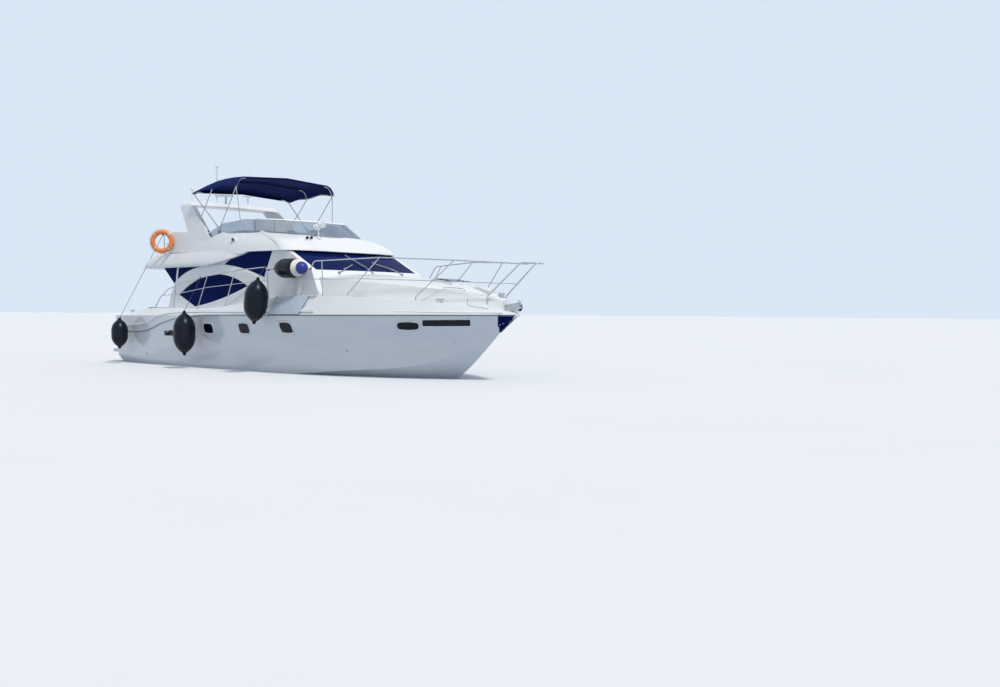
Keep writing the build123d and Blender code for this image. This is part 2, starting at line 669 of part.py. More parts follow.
def engine_lid_parts():
    """The cockpit sole hatch, on a pin along its forward edge."""
    x_axis, z_axis = hatch_x[1] + 10, sole_z + 22
    turn = Pos(x_axis, 0, z_axis) * Rot(90, 0, 0)
    pin = turn * Cylinder(pin_r, 260)
    for y in (-118, 118):
        pin += slab((x_axis - 14, x_axis + 20), (y - 12, y + 12), (sole_z, z_axis + 14))
    lid = slab((hatch_x[0] + moving_gap, hatch_x[1] - moving_gap),
               (-hatch_half + moving_gap, hatch_half - moving_gap), (sole_z - 45, sole_z))
    arm = slab((x_axis - 40, x_axis - 4), (-95, 95), (sole_z + 7, sole_z + 20))
    arm += slab((x_axis - 40, hatch_x[1] - moving_gap), (-95, 95), (sole_z - 1, sole_z + 8))
    leaf = lid + arm + turn * Cylinder(15, 190) - turn * Cylinder(pin_r + pin_play, 300)
    return pin, leaf


def transom_gate_parts():
    x_mid, top = transom_x + 120, 1380
    y_axis = gate_high - 26
    pin = rod((x_mid, y_axis, sole_z), (x_mid, y_axis, top + 40), pin_r)
    collar = slab((x_mid - 20, x_mid + 20), (y_axis - 18, gate_high), (sole_z, sole_z + 30))
    collar += slab((x_mid - 20, x_mid + 20), (y_axis - 18, gate_high), (top + 10, top + 36))
    leaf = slab((x_mid - 22, x_mid + 22), (gate_low + 8, y_axis - 12), (sole_z + 40, top))
    leaf += rod((x_mid, y_axis, sole_z + 40), (x_mid, y_axis, top), 16)
    return pin + collar, leaf - rod((x_mid, y_axis, sole_z), (x_mid, y_axis, top + 60), pin_r + pin_play)


def bathing_platform_part():
    board = slab((-7620, transom_x), (-1820, 1820), (290, 370))
    board = fillet(board.edges().filter_by(Axis.Z).group_by(Axis.X)[0], 260)
    bracket = side_prism(Polyline((transom_x, 291), (-7400, 291), (transom_x, 20), close=True), 600, 640)
    return board + pair(bracket) - full_body


def cockpit_seat_part():
    base = slab((cockpit_aft, -5760), (-1380, 700), (sole_z, 1150))
    cushion = fillet(slab((cockpit_aft + 110, -5740), (-1380, 700), (1150, 1260)).edges(), 35)
    back = fillet(slab((cockpit_aft, cockpit_aft + 120), (-1380, 700), (1160, 1620)).edges(), 35)
    return base + cushion + back


def stairs_part():
    """Open treads between two stringers, from the cockpit sole to the flybridge."""
    foot, head = (-5650, sole_z), (-4520, bridge_deck_z - 30)
    steps = 8
    made = None
    for y in (stair_y[0] + 20, stair_y[1] - 60):
        corners = [(x + off, z) for (x, z), offs in ((foot, (-60, 110)), (head, (110, -60))) for off in offs]
        rail = side_prism(Polyline(*corners, close=True), y, y + 40)
        made = rail if made is None else made + rail
    for n in range(1, steps):
        share = n / steps
        x = foot[0] + share * (head[0] - foot[0])
        z = foot[1] + share * (head[1] - foot[1])
        made += slab((x - 90, x + 150), (stair_y[0] + 30, stair_y[1] - 30), (z - 30, z))
    return made


def shaft_direction():
    return Vector(shaft_out[0] - shaft_in[0], 0, shaft_out[1] - shaft_in[1]).normalized()


def propeller(side):
    hub_x, hub_z = along_shaft(-6130)
    plane = Plane(origin=(hub_x, side * shaft_y, hub_z), x_dir=(0, 1, 0), z_dir=shaft_direction())
    hub = plane * Cone(58, 44, 150)
    blade = extrude(Pos(165, 0) * Ellipse(118, 92), 7, both=True)
    for turn in range(4):
        hub += plane * Rot(0, 0, 90 * turn + 45) * Rot(side * 28, 0, 0) * blade
    start, end = along_shaft(-4320), along_shaft(-6200)
    shaft = rod((start[0], side * shaft_y, start[1]), (end[0], side * shaft_y, end[1]), shaft_r)
    return hub + shaft


def bracket_part():
    x_at, z_at = along_shaft(-5850)
    plane = Plane(origin=(x_at, shaft_y, z_at), x_dir=(0, 1, 0), z_dir=shaft_direction())
    strut = loft([Plane.XY.offset(z_at) * Pos(x_at, shaft_y) * Rectangle(110, 26),
                  Plane.XY.offset(-250) * Pos(x_at + 60, shaft_y) * Rectangle(150, 34)], ruled=True)
    made = plane * Cylinder(45, 180) + strut - plane * Cylinder(shaft_r + shaft_play, 400) - full_body
    return pair(made)


def rudder(side):
    stock = rod((rudder_x, side * rudder_y, -700), (rudder_x, side * rudder_y, stock_top - 40), stock_r)
    section = ((-170, 0), (-90, 26), (60, 20), (190, 0), (60, -20), (-90, -26))
    foils = []
    for z, size in ((-385, 1.0), (-960, 0.72)):
        outline = Polyline(*[(size * a, size * b) for a, b in section], close=True)
        foils.append(Plane.XY.offset(z) * Pos(rudder_x, side * rudder_y) * make_face(outline))
    return stock + loft(foils, ruled=True)


tab_mid = (transom_x, 930, -257)
tab_slope = 12.9             # rise of the bottom towards the chine, degrees


def tab_parts(side):
    """A trim tab on its pin along the foot of the transom."""
    plane = Plane(origin=(tab_mid[0] - 22, side * tab_mid[1], tab_mid[2] + 30),
                  x_dir=(-1, 0, 0), z_dir=(0, 0, 1)).rotated((side * -tab_slope, 0, 0))
    pin = plane * Rot(90, 0, 0) * Cylinder(pin_r, 640)
    leaf = plane * Pos(150, 0, -10) * Box(290, 700, 12) + plane * Rot(90, 0, 0) * Cylinder(15, 590)
    leaf -= plane * Rot(90, 0, 0) * Cylinder(pin_r + pin_play, 700)
    for y in (-310, 310):
        pin += plane * Pos(-14, y, 0) * Box(60, 20, 40)
        leaf -= plane * Pos(0, y, 0) * Box(56, 32, 80)
    return pin - full_body, leaf


# Fenders: centre, radius, length over all, lean of the foot aft in degrees
upright_fenders = (((-6060, -2330, 865), 228, 880, 0), ((-2320, -2470, 935), 282, 1180, 0),
                   ((960, -2480, 1775), 282, 1140, 9))
flat_fender = ((1640, -2000, 2560), 235, 1200)
eye_r = 34


def fender_shape(radius, length):
    """A fat cylinder with ends that draw in to an eye, turned from its half section."""
    half, straight = length / 2, 0.06 * length
    neck = half - 0.05 * length
    side = (Line((0, -half), (eye_r, -half)) + Line((eye_r, -half), (eye_r, -neck))
            + ThreePointArc((eye_r, -neck), (0.80 * radius, -0.63 * neck), (radius, -straight))
            + Line((radius, -straight), (radius, straight))
            + ThreePointArc((radius, straight), (0.80 * radius, 0.63 * neck), (eye_r, neck))
            + Line((eye_r, neck), (eye_r, half)) + Polyline((eye_r, half), (0, half), (0, -half)))
    return revolve(Plane.XZ * make_face(side), Axis.Z)


def fenders_part():
    centre, radius, length = flat_fender
    made = Pos(*centre) * Rot(0, 90, 0) * fender_shape(radius, length)
    for centre, radius, length, lean in upright_fenders:
        made += Pos(*centre) * Rot(0, lean, 0) * fender_shape(radius, length)
    return made


# Fender lines: from the fender's eye to the rail or deck edge that carries it
fender_lines = (((-6060, -2330, 1290), (-5400, -1330, 3715)), ((-2320, -2470, 1510), (-2385, -1949, 2396)),
                ((1046, -2480, 2325), (560, -1940.5, 2616.5)), ((1030, -2000, 2560), (702, -1936, 2540)),
                ((2250, -2000, 2560), (2420, -1955, 2530)))


def fender_lines_part():
    made = rod(*fender_lines[0], 6)
    for line in fender_lines[1:]:
        made += rod(*line, 6)
    return made - fenders_body - side_rails_body - bow_rail_body - bridge_rail_body - full_body - bridge_body


def engines_part():
    return pair(slab((-5700, -4480), (300, 1050), (-150, 600)))


def searchlight_part():
    """A foot on the brow, a stem, and two lamp heads on short arms."""
    base = Pos(850, -530, 0)
    stem = base * rod((0, 0, 3200), (0, 0, 3640), 16)
    foot = base * Pos(0, 0, 3395) * Cylinder(60, 60)
    heads = base * (rod((-40, -80, 3660), (40, -50, 3680), 78) + rod((0, 50, 3720), (80, 80, 3740), 78))
    arms = base * (rod((0, 0, 3600), (0, -60, 3670), 14) + rod((0, 0, 3600), (30, 60, 3725), 14))
    return stem + foot + heads + arms - bridge_body - screen_body


def nav_lights_part():
    return pair(slab((-1345, -1265), (1520, 1672), (3350, 3420)) - bridge_body)


def deck_with_lids(body):
    for lid, at_bow in ((hatch_lid, True), (locker_lid, False)):
        body = body + lid_frame(lid) - lid_well(lid) + lid_hinge(lid, at_bow)[0]
    return body


bow_trunk = loft([trunk_row(row) for row in trunk_sections])
bridge_body = flybridge_part()
screen_body = windscreen_part()
arch_body = radar_arch_part() - lifebuoy_part()
bridge_rail_body = bridge_rail_part()
side_rails_body = side_rails_part()
bow_rail_body = bow_rail_part()
fenders_body = fenders_part()
engine_pins, engine_leaf = engine_lid_parts()
gate_pins, gate_leaf = transom_gate_parts()

parts = {
    "hull": hull_part(),
    "deck": deck_with_lids(deck_part()),
    "rub_rail": rub_rail_part(),
    "quarter_mouldings": quarter_mouldings_part(),
    "deckhouse": deckhouse_part(),
    "windshield": windshield_part(),
    "side_glass": side_glass_part(),
    "aft_wings": aft_wings_part(),
    "saloon_door": saloon_door_part(),
    "door_track": door_track_part(),
    "fixed_door_pane": fixed_pane_part(),
    "flybridge": bridge_body,
    "flybridge_windscreen": screen_body,
    "helm_console": helm_console_part() - helm_bore(),
    "helm_wheel": helm_wheel_part(),
    "helm_seat": helm_seat_part(),
    "flybridge_settee": settee_part(),
    "radar_arch": arch_body,
    "antennas": antennas_part(),
    "bimini_canopy": canopy_part(),
    "bimini_frame": bimini_frame_part(),
    "bow_rail": bow_rail_body,
    "side_rails": side_rails_body,
    "flybridge_rail": bridge_rail_body,
    "lifebuoy": lifebuoy_part(),
    "anchor_roller": anchor_roller_part(),
    "anchor": anchor_part(),
    "windlass": windlass_part(),
    "mooring_cleats": cleats_part(),
    "foredeck_hatch": lid_part(hatch_lid, True),
    "anchor_locker_lid": lid_part(locker_lid, False),
    "engine_hatch": engine_leaf,
    "engine_hatch_hinge": engine_pins,
    "transom_gate": gate_leaf,
    "transom_gate_hinge": gate_pins,
    "bathing_platform": bathing_platform_part(),
    "cockpit_seat": cockpit_seat_part(),
    "flybridge_stairs": stairs_part(),
    "propeller_port": propeller(1),
    "propeller_starboard": propeller(-1),
    "shaft_brackets": bracket_part(),
    "rudder_port": rudder(1),
    "rudder_starboard": rudder(-1),
    "trim_tab_port": tab_parts(1)[1],
    "trim_tab_starboard": tab_parts(-1)[1],
    "trim_tab_hinges": tab_parts(1)[0] + tab_parts(-1)[0],
    "engines": engines_part(),
    "fenders": fenders_body,
    "fender_lines": fender_lines_part(),
    "searchlight": searchlight_part(),
    "navigation_lights": nav_lights_part(),
}

os.makedirs("parts", exist_ok=True)
for name, shape in parts.items():
    export_step(shape, f"parts/{name}.step")
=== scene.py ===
import itertools
import json
import math

import bpy
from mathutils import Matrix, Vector


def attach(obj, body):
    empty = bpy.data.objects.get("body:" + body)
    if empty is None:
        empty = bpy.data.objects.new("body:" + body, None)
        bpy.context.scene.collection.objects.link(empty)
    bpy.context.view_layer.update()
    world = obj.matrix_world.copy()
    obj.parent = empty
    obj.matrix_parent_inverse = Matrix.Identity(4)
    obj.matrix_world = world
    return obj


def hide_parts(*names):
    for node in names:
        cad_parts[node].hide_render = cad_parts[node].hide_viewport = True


# Flybridge motor yacht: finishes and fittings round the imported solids.
# Metres, +X to the bow, +Y to port, +Z up, water level at z = 0.

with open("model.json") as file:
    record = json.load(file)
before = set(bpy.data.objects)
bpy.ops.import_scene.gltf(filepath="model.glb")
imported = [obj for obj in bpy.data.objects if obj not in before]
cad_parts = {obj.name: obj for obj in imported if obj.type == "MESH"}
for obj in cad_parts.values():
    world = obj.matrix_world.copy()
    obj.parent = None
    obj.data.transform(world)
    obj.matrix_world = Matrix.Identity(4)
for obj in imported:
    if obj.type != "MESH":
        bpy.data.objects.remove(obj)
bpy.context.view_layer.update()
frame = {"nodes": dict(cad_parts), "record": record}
nodes = frame["nodes"]
bpy.context.view_layer.update()
print("frame loaded with", len(nodes), "nodes")

# Camera low over the water off the starboard bow
cameraSetup = {"place": (23.096, -17.444, 1.553), "turn": (88.308, -0.389, 42.797), "lens": 38.79,
               "sensor": 36, "shift": -0.0077, "farthest": 600}
bpy.ops.object.select_all(action="DESELECT")
bpy.ops.object.camera_add(location=cameraSetup["place"],
                          rotation=[math.radians(a) for a in cameraSetup["turn"]])
camera = bpy.context.object
camera.name = "photoCamera"
camera.data.lens = cameraSetup["lens"]
camera.data.sensor_width = cameraSetup["sensor"]
camera.data.shift_x = cameraSetup["shift"]
camera.data.clip_end = cameraSetup["farthest"]
bpy.context.scene.camera = camera
print("camera set")


# Finishes

def give(tree, socket, value):
    # another node's output is linked, anything else is set
    if isinstance(value, bpy.types.NodeSocket):
        tree.links.new(value, socket)
    else:
        socket.default_value = value


def put(tree, kind, values=None, **settings):
    node = tree.nodes.new("ShaderNode" + kind)
    for key, value in settings.items():
        setattr(node, key, value)
    for key, value in (values or {}).items():
        give(tree, node.inputs[key], value)
    return node


def makeFinish(name, look):
    # two shades drift into each other, and a fine grain breaks the gloss
    finish = bpy.data.materials.new(name)
    finish.use_nodes = True
    tree = finish.node_tree
    spot = put(tree, "TexCoord").outputs["Object"]
    lay = put(tree, "Mapping", {"Vector": spot, "Scale": look.get("stretch", (1, 1, 1))}).outputs["Vector"]
    cloud = put(tree, "TexNoise", {"Vector": lay, "Scale": look["cloud"], "Detail": 6,
                                   "Roughness": 0.62}).outputs["Fac"]
    grain = put(tree, "TexNoise", {"Vector": lay, "Scale": look["grain"], "Detail": 3}).outputs["Fac"]
    shades = put(tree, "ValToRGB", {"Fac": cloud})
    for element, position, key in zip(shades.color_ramp.elements, (0.32, 0.66), ("shade", "base")):
        element.position = position
        element.color = (*look[key], 1)
    gloss = put(tree, "MapRange", {"Value": cloud, "From Min": 0.3, "From Max": 0.7,
                                   "To Min": look["rough"][0], "To Max": look["rough"][1]})
    bump = put(tree, "Bump", {"Height": grain, "Strength": look["bump"],
                              "Distance": look.get("depth", 0.002)})
    made = {"finish": finish, "tree": tree, "shader": tree.nodes["Principled BSDF"], "spot": spot,
            "color": shades.outputs["Color"], "normal": bump.outputs["Normal"]}
    settings = {"Base Color": made["color"], "Roughness": gloss.outputs["Result"], "Normal": made["normal"]}
    for socket, value in [*settings.items(), *look.get("shader", {}).items()]:
        give(tree, made["shader"].inputs[socket], value)
    return made


def layOver(made, mask, color, most=1.0):
    # a second colour where the mask is 1
    strength = mathOf(made, "MULTIPLY", mask, most)
    mix = put(made["tree"], "Mix", {0: strength, 6: made["color"], 7: (*color, 1)}, data_type="RGBA")
    made["color"] = mix.outputs[2]
    give(made["tree"], made["shader"].inputs["Base Color"], made["color"])


def axisValue(made, axis, source=None):
    return put(made["tree"], "SeparateXYZ", {0: source or made["spot"]}).outputs[axis]


def mathOf(made, operation, first, second=0.5):
    return put(made["tree"], "Math", {0: first, 1: second}, operation=operation).outputs[0]


def extraBump(made, height, strength, depth):
    values = {"Height": height, "Strength": strength, "Distance": depth, "Normal": made["normal"]}
    made["normal"] = put(made["tree"], "Bump", values).outputs["Normal"]
    give(made["tree"], made["shader"].inputs["Normal"], made["normal"])


def upFacing(made, least=0.9):
    facing = put(made["tree"], "NewGeometry").outputs["Normal"]
    return mathOf(made, "GREATER_THAN", axisValue(made, "Z", facing), least)


def seenRays(made):
    # 1 for a ray from the camera, from a mirror or through glass, 0 for one that only lights
    rays = put(made["tree"], "LightPath").outputs
    direct = mathOf(made, "MAXIMUM", rays["Is Camera Ray"], rays["Is Glossy Ray"])
    return mathOf(made, "MAXIMUM", direct, rays["Is Transmission Ray"])


looks = {
    "hullGelcoat": {"base": (0.80, 0.825, 0.86), "shade": (0.74, 0.775, 0.825), "cloud": 0.9, "grain": 240,
                    "stretch": (0.5, 1, 2.4), "rough": (0.12, 0.24), "bump": 0.03,
                    "shader": {"Coat Weight": 0.6, "Coat Roughness": 0.06}},
    "deckGelcoat": {"base": (0.83, 0.845, 0.86), "shade": (0.78, 0.80, 0.825), "cloud": 1.6, "grain": 300,
                    "rough": (0.25, 0.4), "bump": 0.05, "shader": {"Coat Weight": 0.2}},
    "houseGelcoat": {"base": (0.83, 0.845, 0.865), "shade": (0.785, 0.805, 0.835), "cloud": 1.2, "grain": 260,
                     "rough": (0.26, 0.38), "bump": 0.03,
                     "shader": {"Coat Weight": 0.25, "Coat Roughness": 0.14}},
    "navyGlass": {"base": (0.003, 0.014, 0.105), "shade": (0.002, 0.009, 0.07), "cloud": 0.6, "grain": 40,
                  "rough": (0.02, 0.05), "bump": 0.02,
                  "shader": {"IOR": 1.12, "Specular IOR Level": 0.12, "Specular Tint": (0.3, 0.5, 1, 1)}},
    "darkPane": {"base": (0.006, 0.009, 0.02), "shade": (0.004, 0.006, 0.013), "cloud": 2, "grain": 60,
                 "rough": (0.03, 0.07), "bump": 0.02, "shader": {"IOR": 1.25}},
    # painted shade: blue-grey gelcoat for the boarding gate leaf, the shade in its recess
    "paintedShadeGelcoat": {"base": (0.50, 0.58, 0.69), "shade": (0.44, 0.52, 0.63), "cloud": 1.4, "grain": 260,
                      "rough": (0.2, 0.32), "bump": 0.03},
    "smokedAcrylic": {"base": (0.52, 0.57, 0.64), "shade": (0.44, 0.50, 0.58), "cloud": 1.5, "grain": 60,
                      "rough": (0.03, 0.07), "bump": 0.02,
                      "shader": {"IOR": 1.2, "Transmission Weight": 0.84}},
    "paintedFrame": {"base": (0.72, 0.74, 0.76), "shade": (0.64, 0.66, 0.69), "cloud": 5, "grain": 400,
                     "rough": (0.3, 0.42), "bump": 0.06},
    "wheelRim": {"base": (0.045, 0.045, 0.05), "shade": (0.02, 0.02, 0.024), "cloud": 14, "grain": 700,
                 "rough": (0.4, 0.6), "bump": 0.25},
    "seatVinyl": {"base": (0.74, 0.74, 0.72), "shade": (0.64, 0.645, 0.63), "cloud": 5, "grain": 420,
                  "rough": (0.42, 0.58), "bump": 0.3, "depth": 0.0012},
    "whitePlastic": {"base": (0.82, 0.83, 0.84), "shade": (0.74, 0.75, 0.77), "cloud": 6, "grain": 350,
                     "rough": (0.22, 0.34), "bump": 0.05},
    "navyCanvas": {"base": (0.006, 0.018, 0.12), "shade": (0.004, 0.011, 0.08), "cloud": 3, "grain": 900,
                   "rough": (0.78, 0.9), "bump": 0.25, "shader": {"Specular IOR Level": 0.12}},
    "polishedSteel": {"base": (0.56, 0.58, 0.61), "shade": (0.40, 0.42, 0.45), "cloud": 9, "grain": 600,
                      "rough": (0.1, 0.24), "bump": 0.04, "shader": {"Metallic": 1.0}},
    "galvanisedSteel": {"base": (0.50, 0.52, 0.54), "shade": (0.36, 0.38, 0.40), "cloud": 22, "grain": 260,
                        "rough": (0.4, 0.62), "bump": 0.3, "shader": {"Metallic": 0.85}},
    "orangeShell": {"base": (0.90, 0.27, 0.07), "shade": (0.74, 0.18, 0.045), "cloud": 7, "grain": 420,
                    "rough": (0.42, 0.56), "bump": 0.18},
    "teak": {"base": (0.47, 0.30, 0.16), "shade": (0.30, 0.185, 0.095), "cloud": 7, "grain": 120,
             "stretch": (0.25, 3, 3), "rough": (0.5, 0.68), "bump": 0.3},
    "bronze": {"base": (0.55, 0.36, 0.15), "shade": (0.34, 0.24, 0.12), "cloud": 12, "grain": 240,
               "rough": (0.28, 0.5), "bump": 0.2, "shader": {"Metallic": 1.0}},
    "enginePaint": {"base": (0.60, 0.62, 0.64), "shade": (0.45, 0.46, 0.48), "cloud": 8, "grain": 200,
                    "rough": (0.35, 0.55), "bump": 0.15},
    "blackVinyl": {"base": (0.006, 0.010, 0.022), "shade": (0.003, 0.005, 0.012), "cloud": 5, "grain": 500,
                   "rough": (0.24, 0.34), "bump": 0.06, "shader": {"Specular IOR Level": 0.2}},
    "blueVinyl": {"base": (0.012, 0.035, 0.30), "shade": (0.008, 0.022, 0.2), "cloud": 7, "grain": 500,
                  "rough": (0.3, 0.44), "bump": 0.16},
    "blackRubber": {"base": (0.022, 0.022, 0.026), "shade": (0.012, 0.012, 0.015), "cloud": 4, "grain": 380,
                    "rough": (0.48, 0.66), "bump": 0.2},
    "railRubber": {"base": (0.10, 0.11, 0.13), "shade": (0.06, 0.066, 0.08), "cloud": 3, "grain": 380,
                   "rough": (0.4, 0.6), "bump": 0.2},
    "paleOrange": {"base": (0.86, 0.44, 0.22), "shade": (0.74, 0.36, 0.17), "cloud": 12, "grain": 420,
                   "rough": (0.4, 0.55), "bump": 0.2},
    "darkRope": {"base": (0.05, 0.06, 0.10), "shade": (0.025, 0.03, 0.055), "cloud": 60, "grain": 900,
                 "rough": (0.7, 0.9), "bump": 0.5},
    "whiteRope": {"base": (0.72, 0.72, 0.68), "shade": (0.5, 0.5, 0.46), "cloud": 60, "grain": 900,
                  "rough": (0.7, 0.9), "bump": 0.7, "depth": 0.003},
    "blackPlastic": {"base": (0.02, 0.02, 0.024), "shade": (0.012, 0.012, 0.014), "cloud": 9, "grain": 500,
                     "rough": (0.3, 0.45), "bump": 0.12},
    "wiperGrey": {"base": (0.30, 0.33, 0.38), "shade": (0.22, 0.25, 0.30), "cloud": 9, "grain": 300,
                  "rough": (0.3, 0.45), "bump": 0.08},
    "paleBand": {"base": (0.84, 0.80, 0.75), "shade": (0.72, 0.68, 0.62), "cloud": 12, "grain": 500,
                 "rough": (0.5, 0.65), "bump": 0.3},
    "lensGlass": {"base": (0.62, 0.68, 0.74), "shade": (0.5, 0.56, 0.62), "cloud": 9, "grain": 200,
                  "rough": (0.03, 0.08), "bump": 0.1, "shader": {"Coat Weight": 0.8}},
    "studioFloor": {"base": (0.80, 0.82, 0.85), "shade": (0.775, 0.80, 0.83), "cloud": 0.12, "grain": 30,
                    "rough": (0.75, 0.9), "bump": 0.03},
}
made = {name: makeFinish(name, look) for name, look in looks.items()}
made["platformTeak"] = makeFinish("platformTeak", looks["teak"])
paint = {name: entry["finish"] for name, entry in made.items()}
planks = {"width": 0.06, "seam": 0.08, "caulk": (0.02, 0.02, 0.02)}
# painted highlight along the top edge of the flybridge windscreen: where it runs, its height and its pale
# colour
screenHighlight = {"run": (-2.78, 0.9), "base": 2.978, "pale": (0.92, 0.94, 0.96), "clear": 0.84,
              "stops": ((0.0, 0.58), (0.185, 0.86), (0.416, 0.96), (0.886, 0.86), (1.0, 0.78))}


def finishHull(entry, paintTop=-0.03):
    # dark bottom paint under the water
    layOver(entry, mathOf(entry, "LESS_THAN", axisValue(entry, "Z"), paintTop), (0.018, 0.03, 0.06))


def finishFloor(entry):
    # a pale floor where it is seen, but its bounce on the topsides is that of open water
    layOver(entry, mathOf(entry, "LESS_THAN", seenRays(entry), 0.5), (0.36, 0.42, 0.50))


def finishRubRail(entry):
    # painted shade: the rail goes from dark at the bow to grey along the quarters, standing for the soft
    # shade line under the mouldings there
    shadeLineFade = put(entry["tree"], "MapRange", {"Value": axisValue(entry, "X"), "From Min": 2.5, "From Max": -3.5})
    layOver(entry, shadeLineFade.outputs["Result"], (0.30, 0.33, 0.38))


def finishDeck(entry):
    # the walked-on faces have a moulded grip of small pips
    grip = upFacing(entry, least=0.93)
    layOver(entry, grip, (0.72, 0.745, 0.78), most=0.55)
    pips = put(entry["tree"], "TexVoronoi", {"Vector": entry["spot"], "Scale": 130}).outputs["Distance"]
    extraBump(entry, mathOf(entry, "MULTIPLY", pips, grip), strength=0.35, depth=0.002)


def plankSeams(entry):
    # planks across Y, and 1 in the narrow seam between two of them
    board = mathOf(entry, "DIVIDE", axisValue(entry, "Y"), planks["width"])
    return board, mathOf(entry, "LESS_THAN", mathOf(entry, "FRACT", board), planks["seam"])


def finishTeak(entry):
    board, seam = plankSeams(entry)
    tone = put(entry["tree"], "TexWhiteNoise", {"W": mathOf(entry, "FLOOR", board)}, noise_dimensions="1D")
    layOver(entry, tone.outputs["Value"], (0.56, 0.39, 0.22), most=0.5)
    layOver(entry, seam, planks["caulk"])
    extraBump(entry, mathOf(entry, "SUBTRACT", 1, seam), strength=0.5, depth=0.002)


def finishPlatform(entry):
    # teak on top of a white moulding
    layOver(entry, plankSeams(entry)[1], planks["caulk"])
    layOver(entry, mathOf(entry, "SUBTRACT", 1, upFacing(entry)), (0.80, 0.82, 0.85))


def finishCanvas(entry):
    # warp and weft a little over a millimetre apart
    threads = [put(entry["tree"], "TexWave", {"Vector": entry["spot"], "Scale": 220, "Distortion": 0.4},
                   bands_direction=way).outputs["Fac"] for way in "XY"]
    weave = mathOf(entry, "MULTIPLY", *threads)
    layOver(entry, weave, (0.012, 0.034, 0.19), most=0.4)
    extraBump(entry, weave, strength=0.4, depth=0.001)


def finishScreen(entry):
    # painted highlight: the top edge of the acrylic is painted pale and opaque, along its stepped side view
    run = put(entry["tree"], "MapRange", {"Value": axisValue(entry, "X"), "From Min": screenHighlight["run"][0],
                                          "From Max": screenHighlight["run"][1]})
    edge = put(entry["tree"], "ValToRGB", {"Fac": run.outputs["Result"]})
    for position, height in screenHighlight["stops"][2:]:
        edge.color_ramp.elements.new(position)
    for element, (position, height) in zip(edge.color_ramp.elements, screenHighlight["stops"]):
        element.position = position
        element.color = (height, height, height, 1)
    top = mathOf(entry, "ADD", edge.outputs["Color"], screenHighlight["base"])
    highlightBand = mathOf(entry, "GREATER_THAN", axisValue(entry, "Z"), top)
    layOver(entry, highlightBand, screenHighlight["pale"])
    clear = mathOf(entry, "MULTIPLY", mathOf(entry, "SUBTRACT", 1, highlightBand), screenHighlight["clear"])
    give(entry["tree"], entry["shader"].inputs["Transmission Weight"], clear)


dressed = {"hullGelcoat": finishHull, "studioFloor": finishFloor, "railRubber": finishRubRail,
           "deckGelcoat": finishDeck, "teak": finishTeak, "navyCanvas": finishCanvas,
           "smokedAcrylic": finishScreen, "platformTeak": finishPlatform}
for name, dress in dressed.items():
    dress(made[name])

slotFinish = {
    "hull_gelcoat": "hullGelcoat", "deck_gelcoat": "deckGelcoat", "house_gelcoat": "houseGelcoat",
    "black_rubber": "blackRubber", "navy_glass": "navyGlass", "smoked_glass": "smokedAcrylic",
    "door_frame_metal": "paintedFrame", "wheel_rim": "wheelRim", "seat_vinyl": "seatVinyl",
    "white_plastic": "whitePlastic", "navy_canvas": "navyCanvas", "polished_steel": "polishedSteel",
    "orange_plastic": "orangeShell", "galvanised_steel": "galvanisedSteel", "teak": "teak",
    "bronze": "bronze", "engine_paint": "enginePaint", "black_vinyl": "blackVinyl",
    "white_rope": "whiteRope", "black_plastic": "blackPlastic",
}
# The slot that goes with each finish, the extra finishes included
finishSlot = {finish: slot for slot, finish in slotFinish.items()}
finishSlot.update({"darkPane": "navy_glass", "paintedShadeGelcoat": "house_gelcoat", "wiperGrey": "black_plastic",
                   "lensGlass": "white_plastic", "paleBand": "white_rope", "darkRope": "white_rope",
                   "blueVinyl": "black_vinyl", "paleOrange": "orange_plastic"})
nodeFinish = {"bathing_platform": "platformTeak", "fender_lines": "darkRope", "rub_rail": "railRubber",
              "foredeck_hatch": "navyGlass", "helm_wheel": "wheelRim"}
for subpart in frame["record"]["subparts"]:
    chosen = nodeFinish.get(subpart["node"], slotFinish[subpart["material_slot"]])
    for place in nodes[subpart["node"]].material_slots:
        place.material = paint[chosen]
print("finishes on the nodes")


# Making pieces

def nothingSelected():
    if bpy.context.mode != "OBJECT":
        bpy.ops.object.mode_set(mode="OBJECT")
    bpy.ops.object.select_all(action="DESELECT")


def onlyThis(piece):
    nothingSelected()
    piece.select_set(True)
    bpy.context.view_layer.objects.active = piece


def shapeAll(piece):
    onlyThis(piece)
    bpy.ops.object.mode_set(mode="EDIT")
    bpy.ops.mesh.select_mode(type="VERT")
    bpy.ops.mesh.select_all(action="SELECT")


def toMesh(piece):
    onlyThis(piece)
    if piece.type != "MESH":
        bpy.ops.object.convert(target="MESH")
    bpy.ops.object.transform_apply(location=True, rotation=True, scale=True)
    return bpy.context.object


def joined(parts, name):
    # several meshes become one piece
    nothingSelected()
    for part in parts:
        part.select_set(True)
    bpy.context.view_layer.objects.active = parts[0]
    if len(parts) > 1:
        bpy.ops.object.join()
    bpy.context.object.name = name
    return bpy.context.object


def finished(parts, name, finish, bothSides=False, body="yacht", slot="", smooth=35, tidy=True):
    # slot is not used
    meshes = [toMesh(part) for part in (parts if isinstance(parts, list) else [parts])]
    piece = joined(meshes, name)
    if bothSides:
        piece.modifiers.new("otherSide", "MIRROR").use_axis = (False, True, False)
        piece.modifiers["otherSide"].use_mirror_merge = False
    onlyThis(piece)
    for modifier in list(piece.modifiers):
        bpy.ops.object.modifier_apply(modifier=modifier.name)
    if tidy:
        shapeAll(piece)
        bpy.ops.mesh.remove_doubles(threshold=0.00005)
        bpy.ops.mesh.normals_make_consistent(inside=False)
        bpy.ops.object.mode_set(mode="OBJECT")
    bpy.ops.object.shade_smooth_by_angle(angle=math.radians(smooth))
    piece.data.name = name
    piece.data.materials.clear()
    piece.data.materials.append(paint[finish])
    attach(piece, body)
    return piece


def mirrored(parts, name, finish, **more):
    return finished(parts, name, finish, bothSides=True, **more)


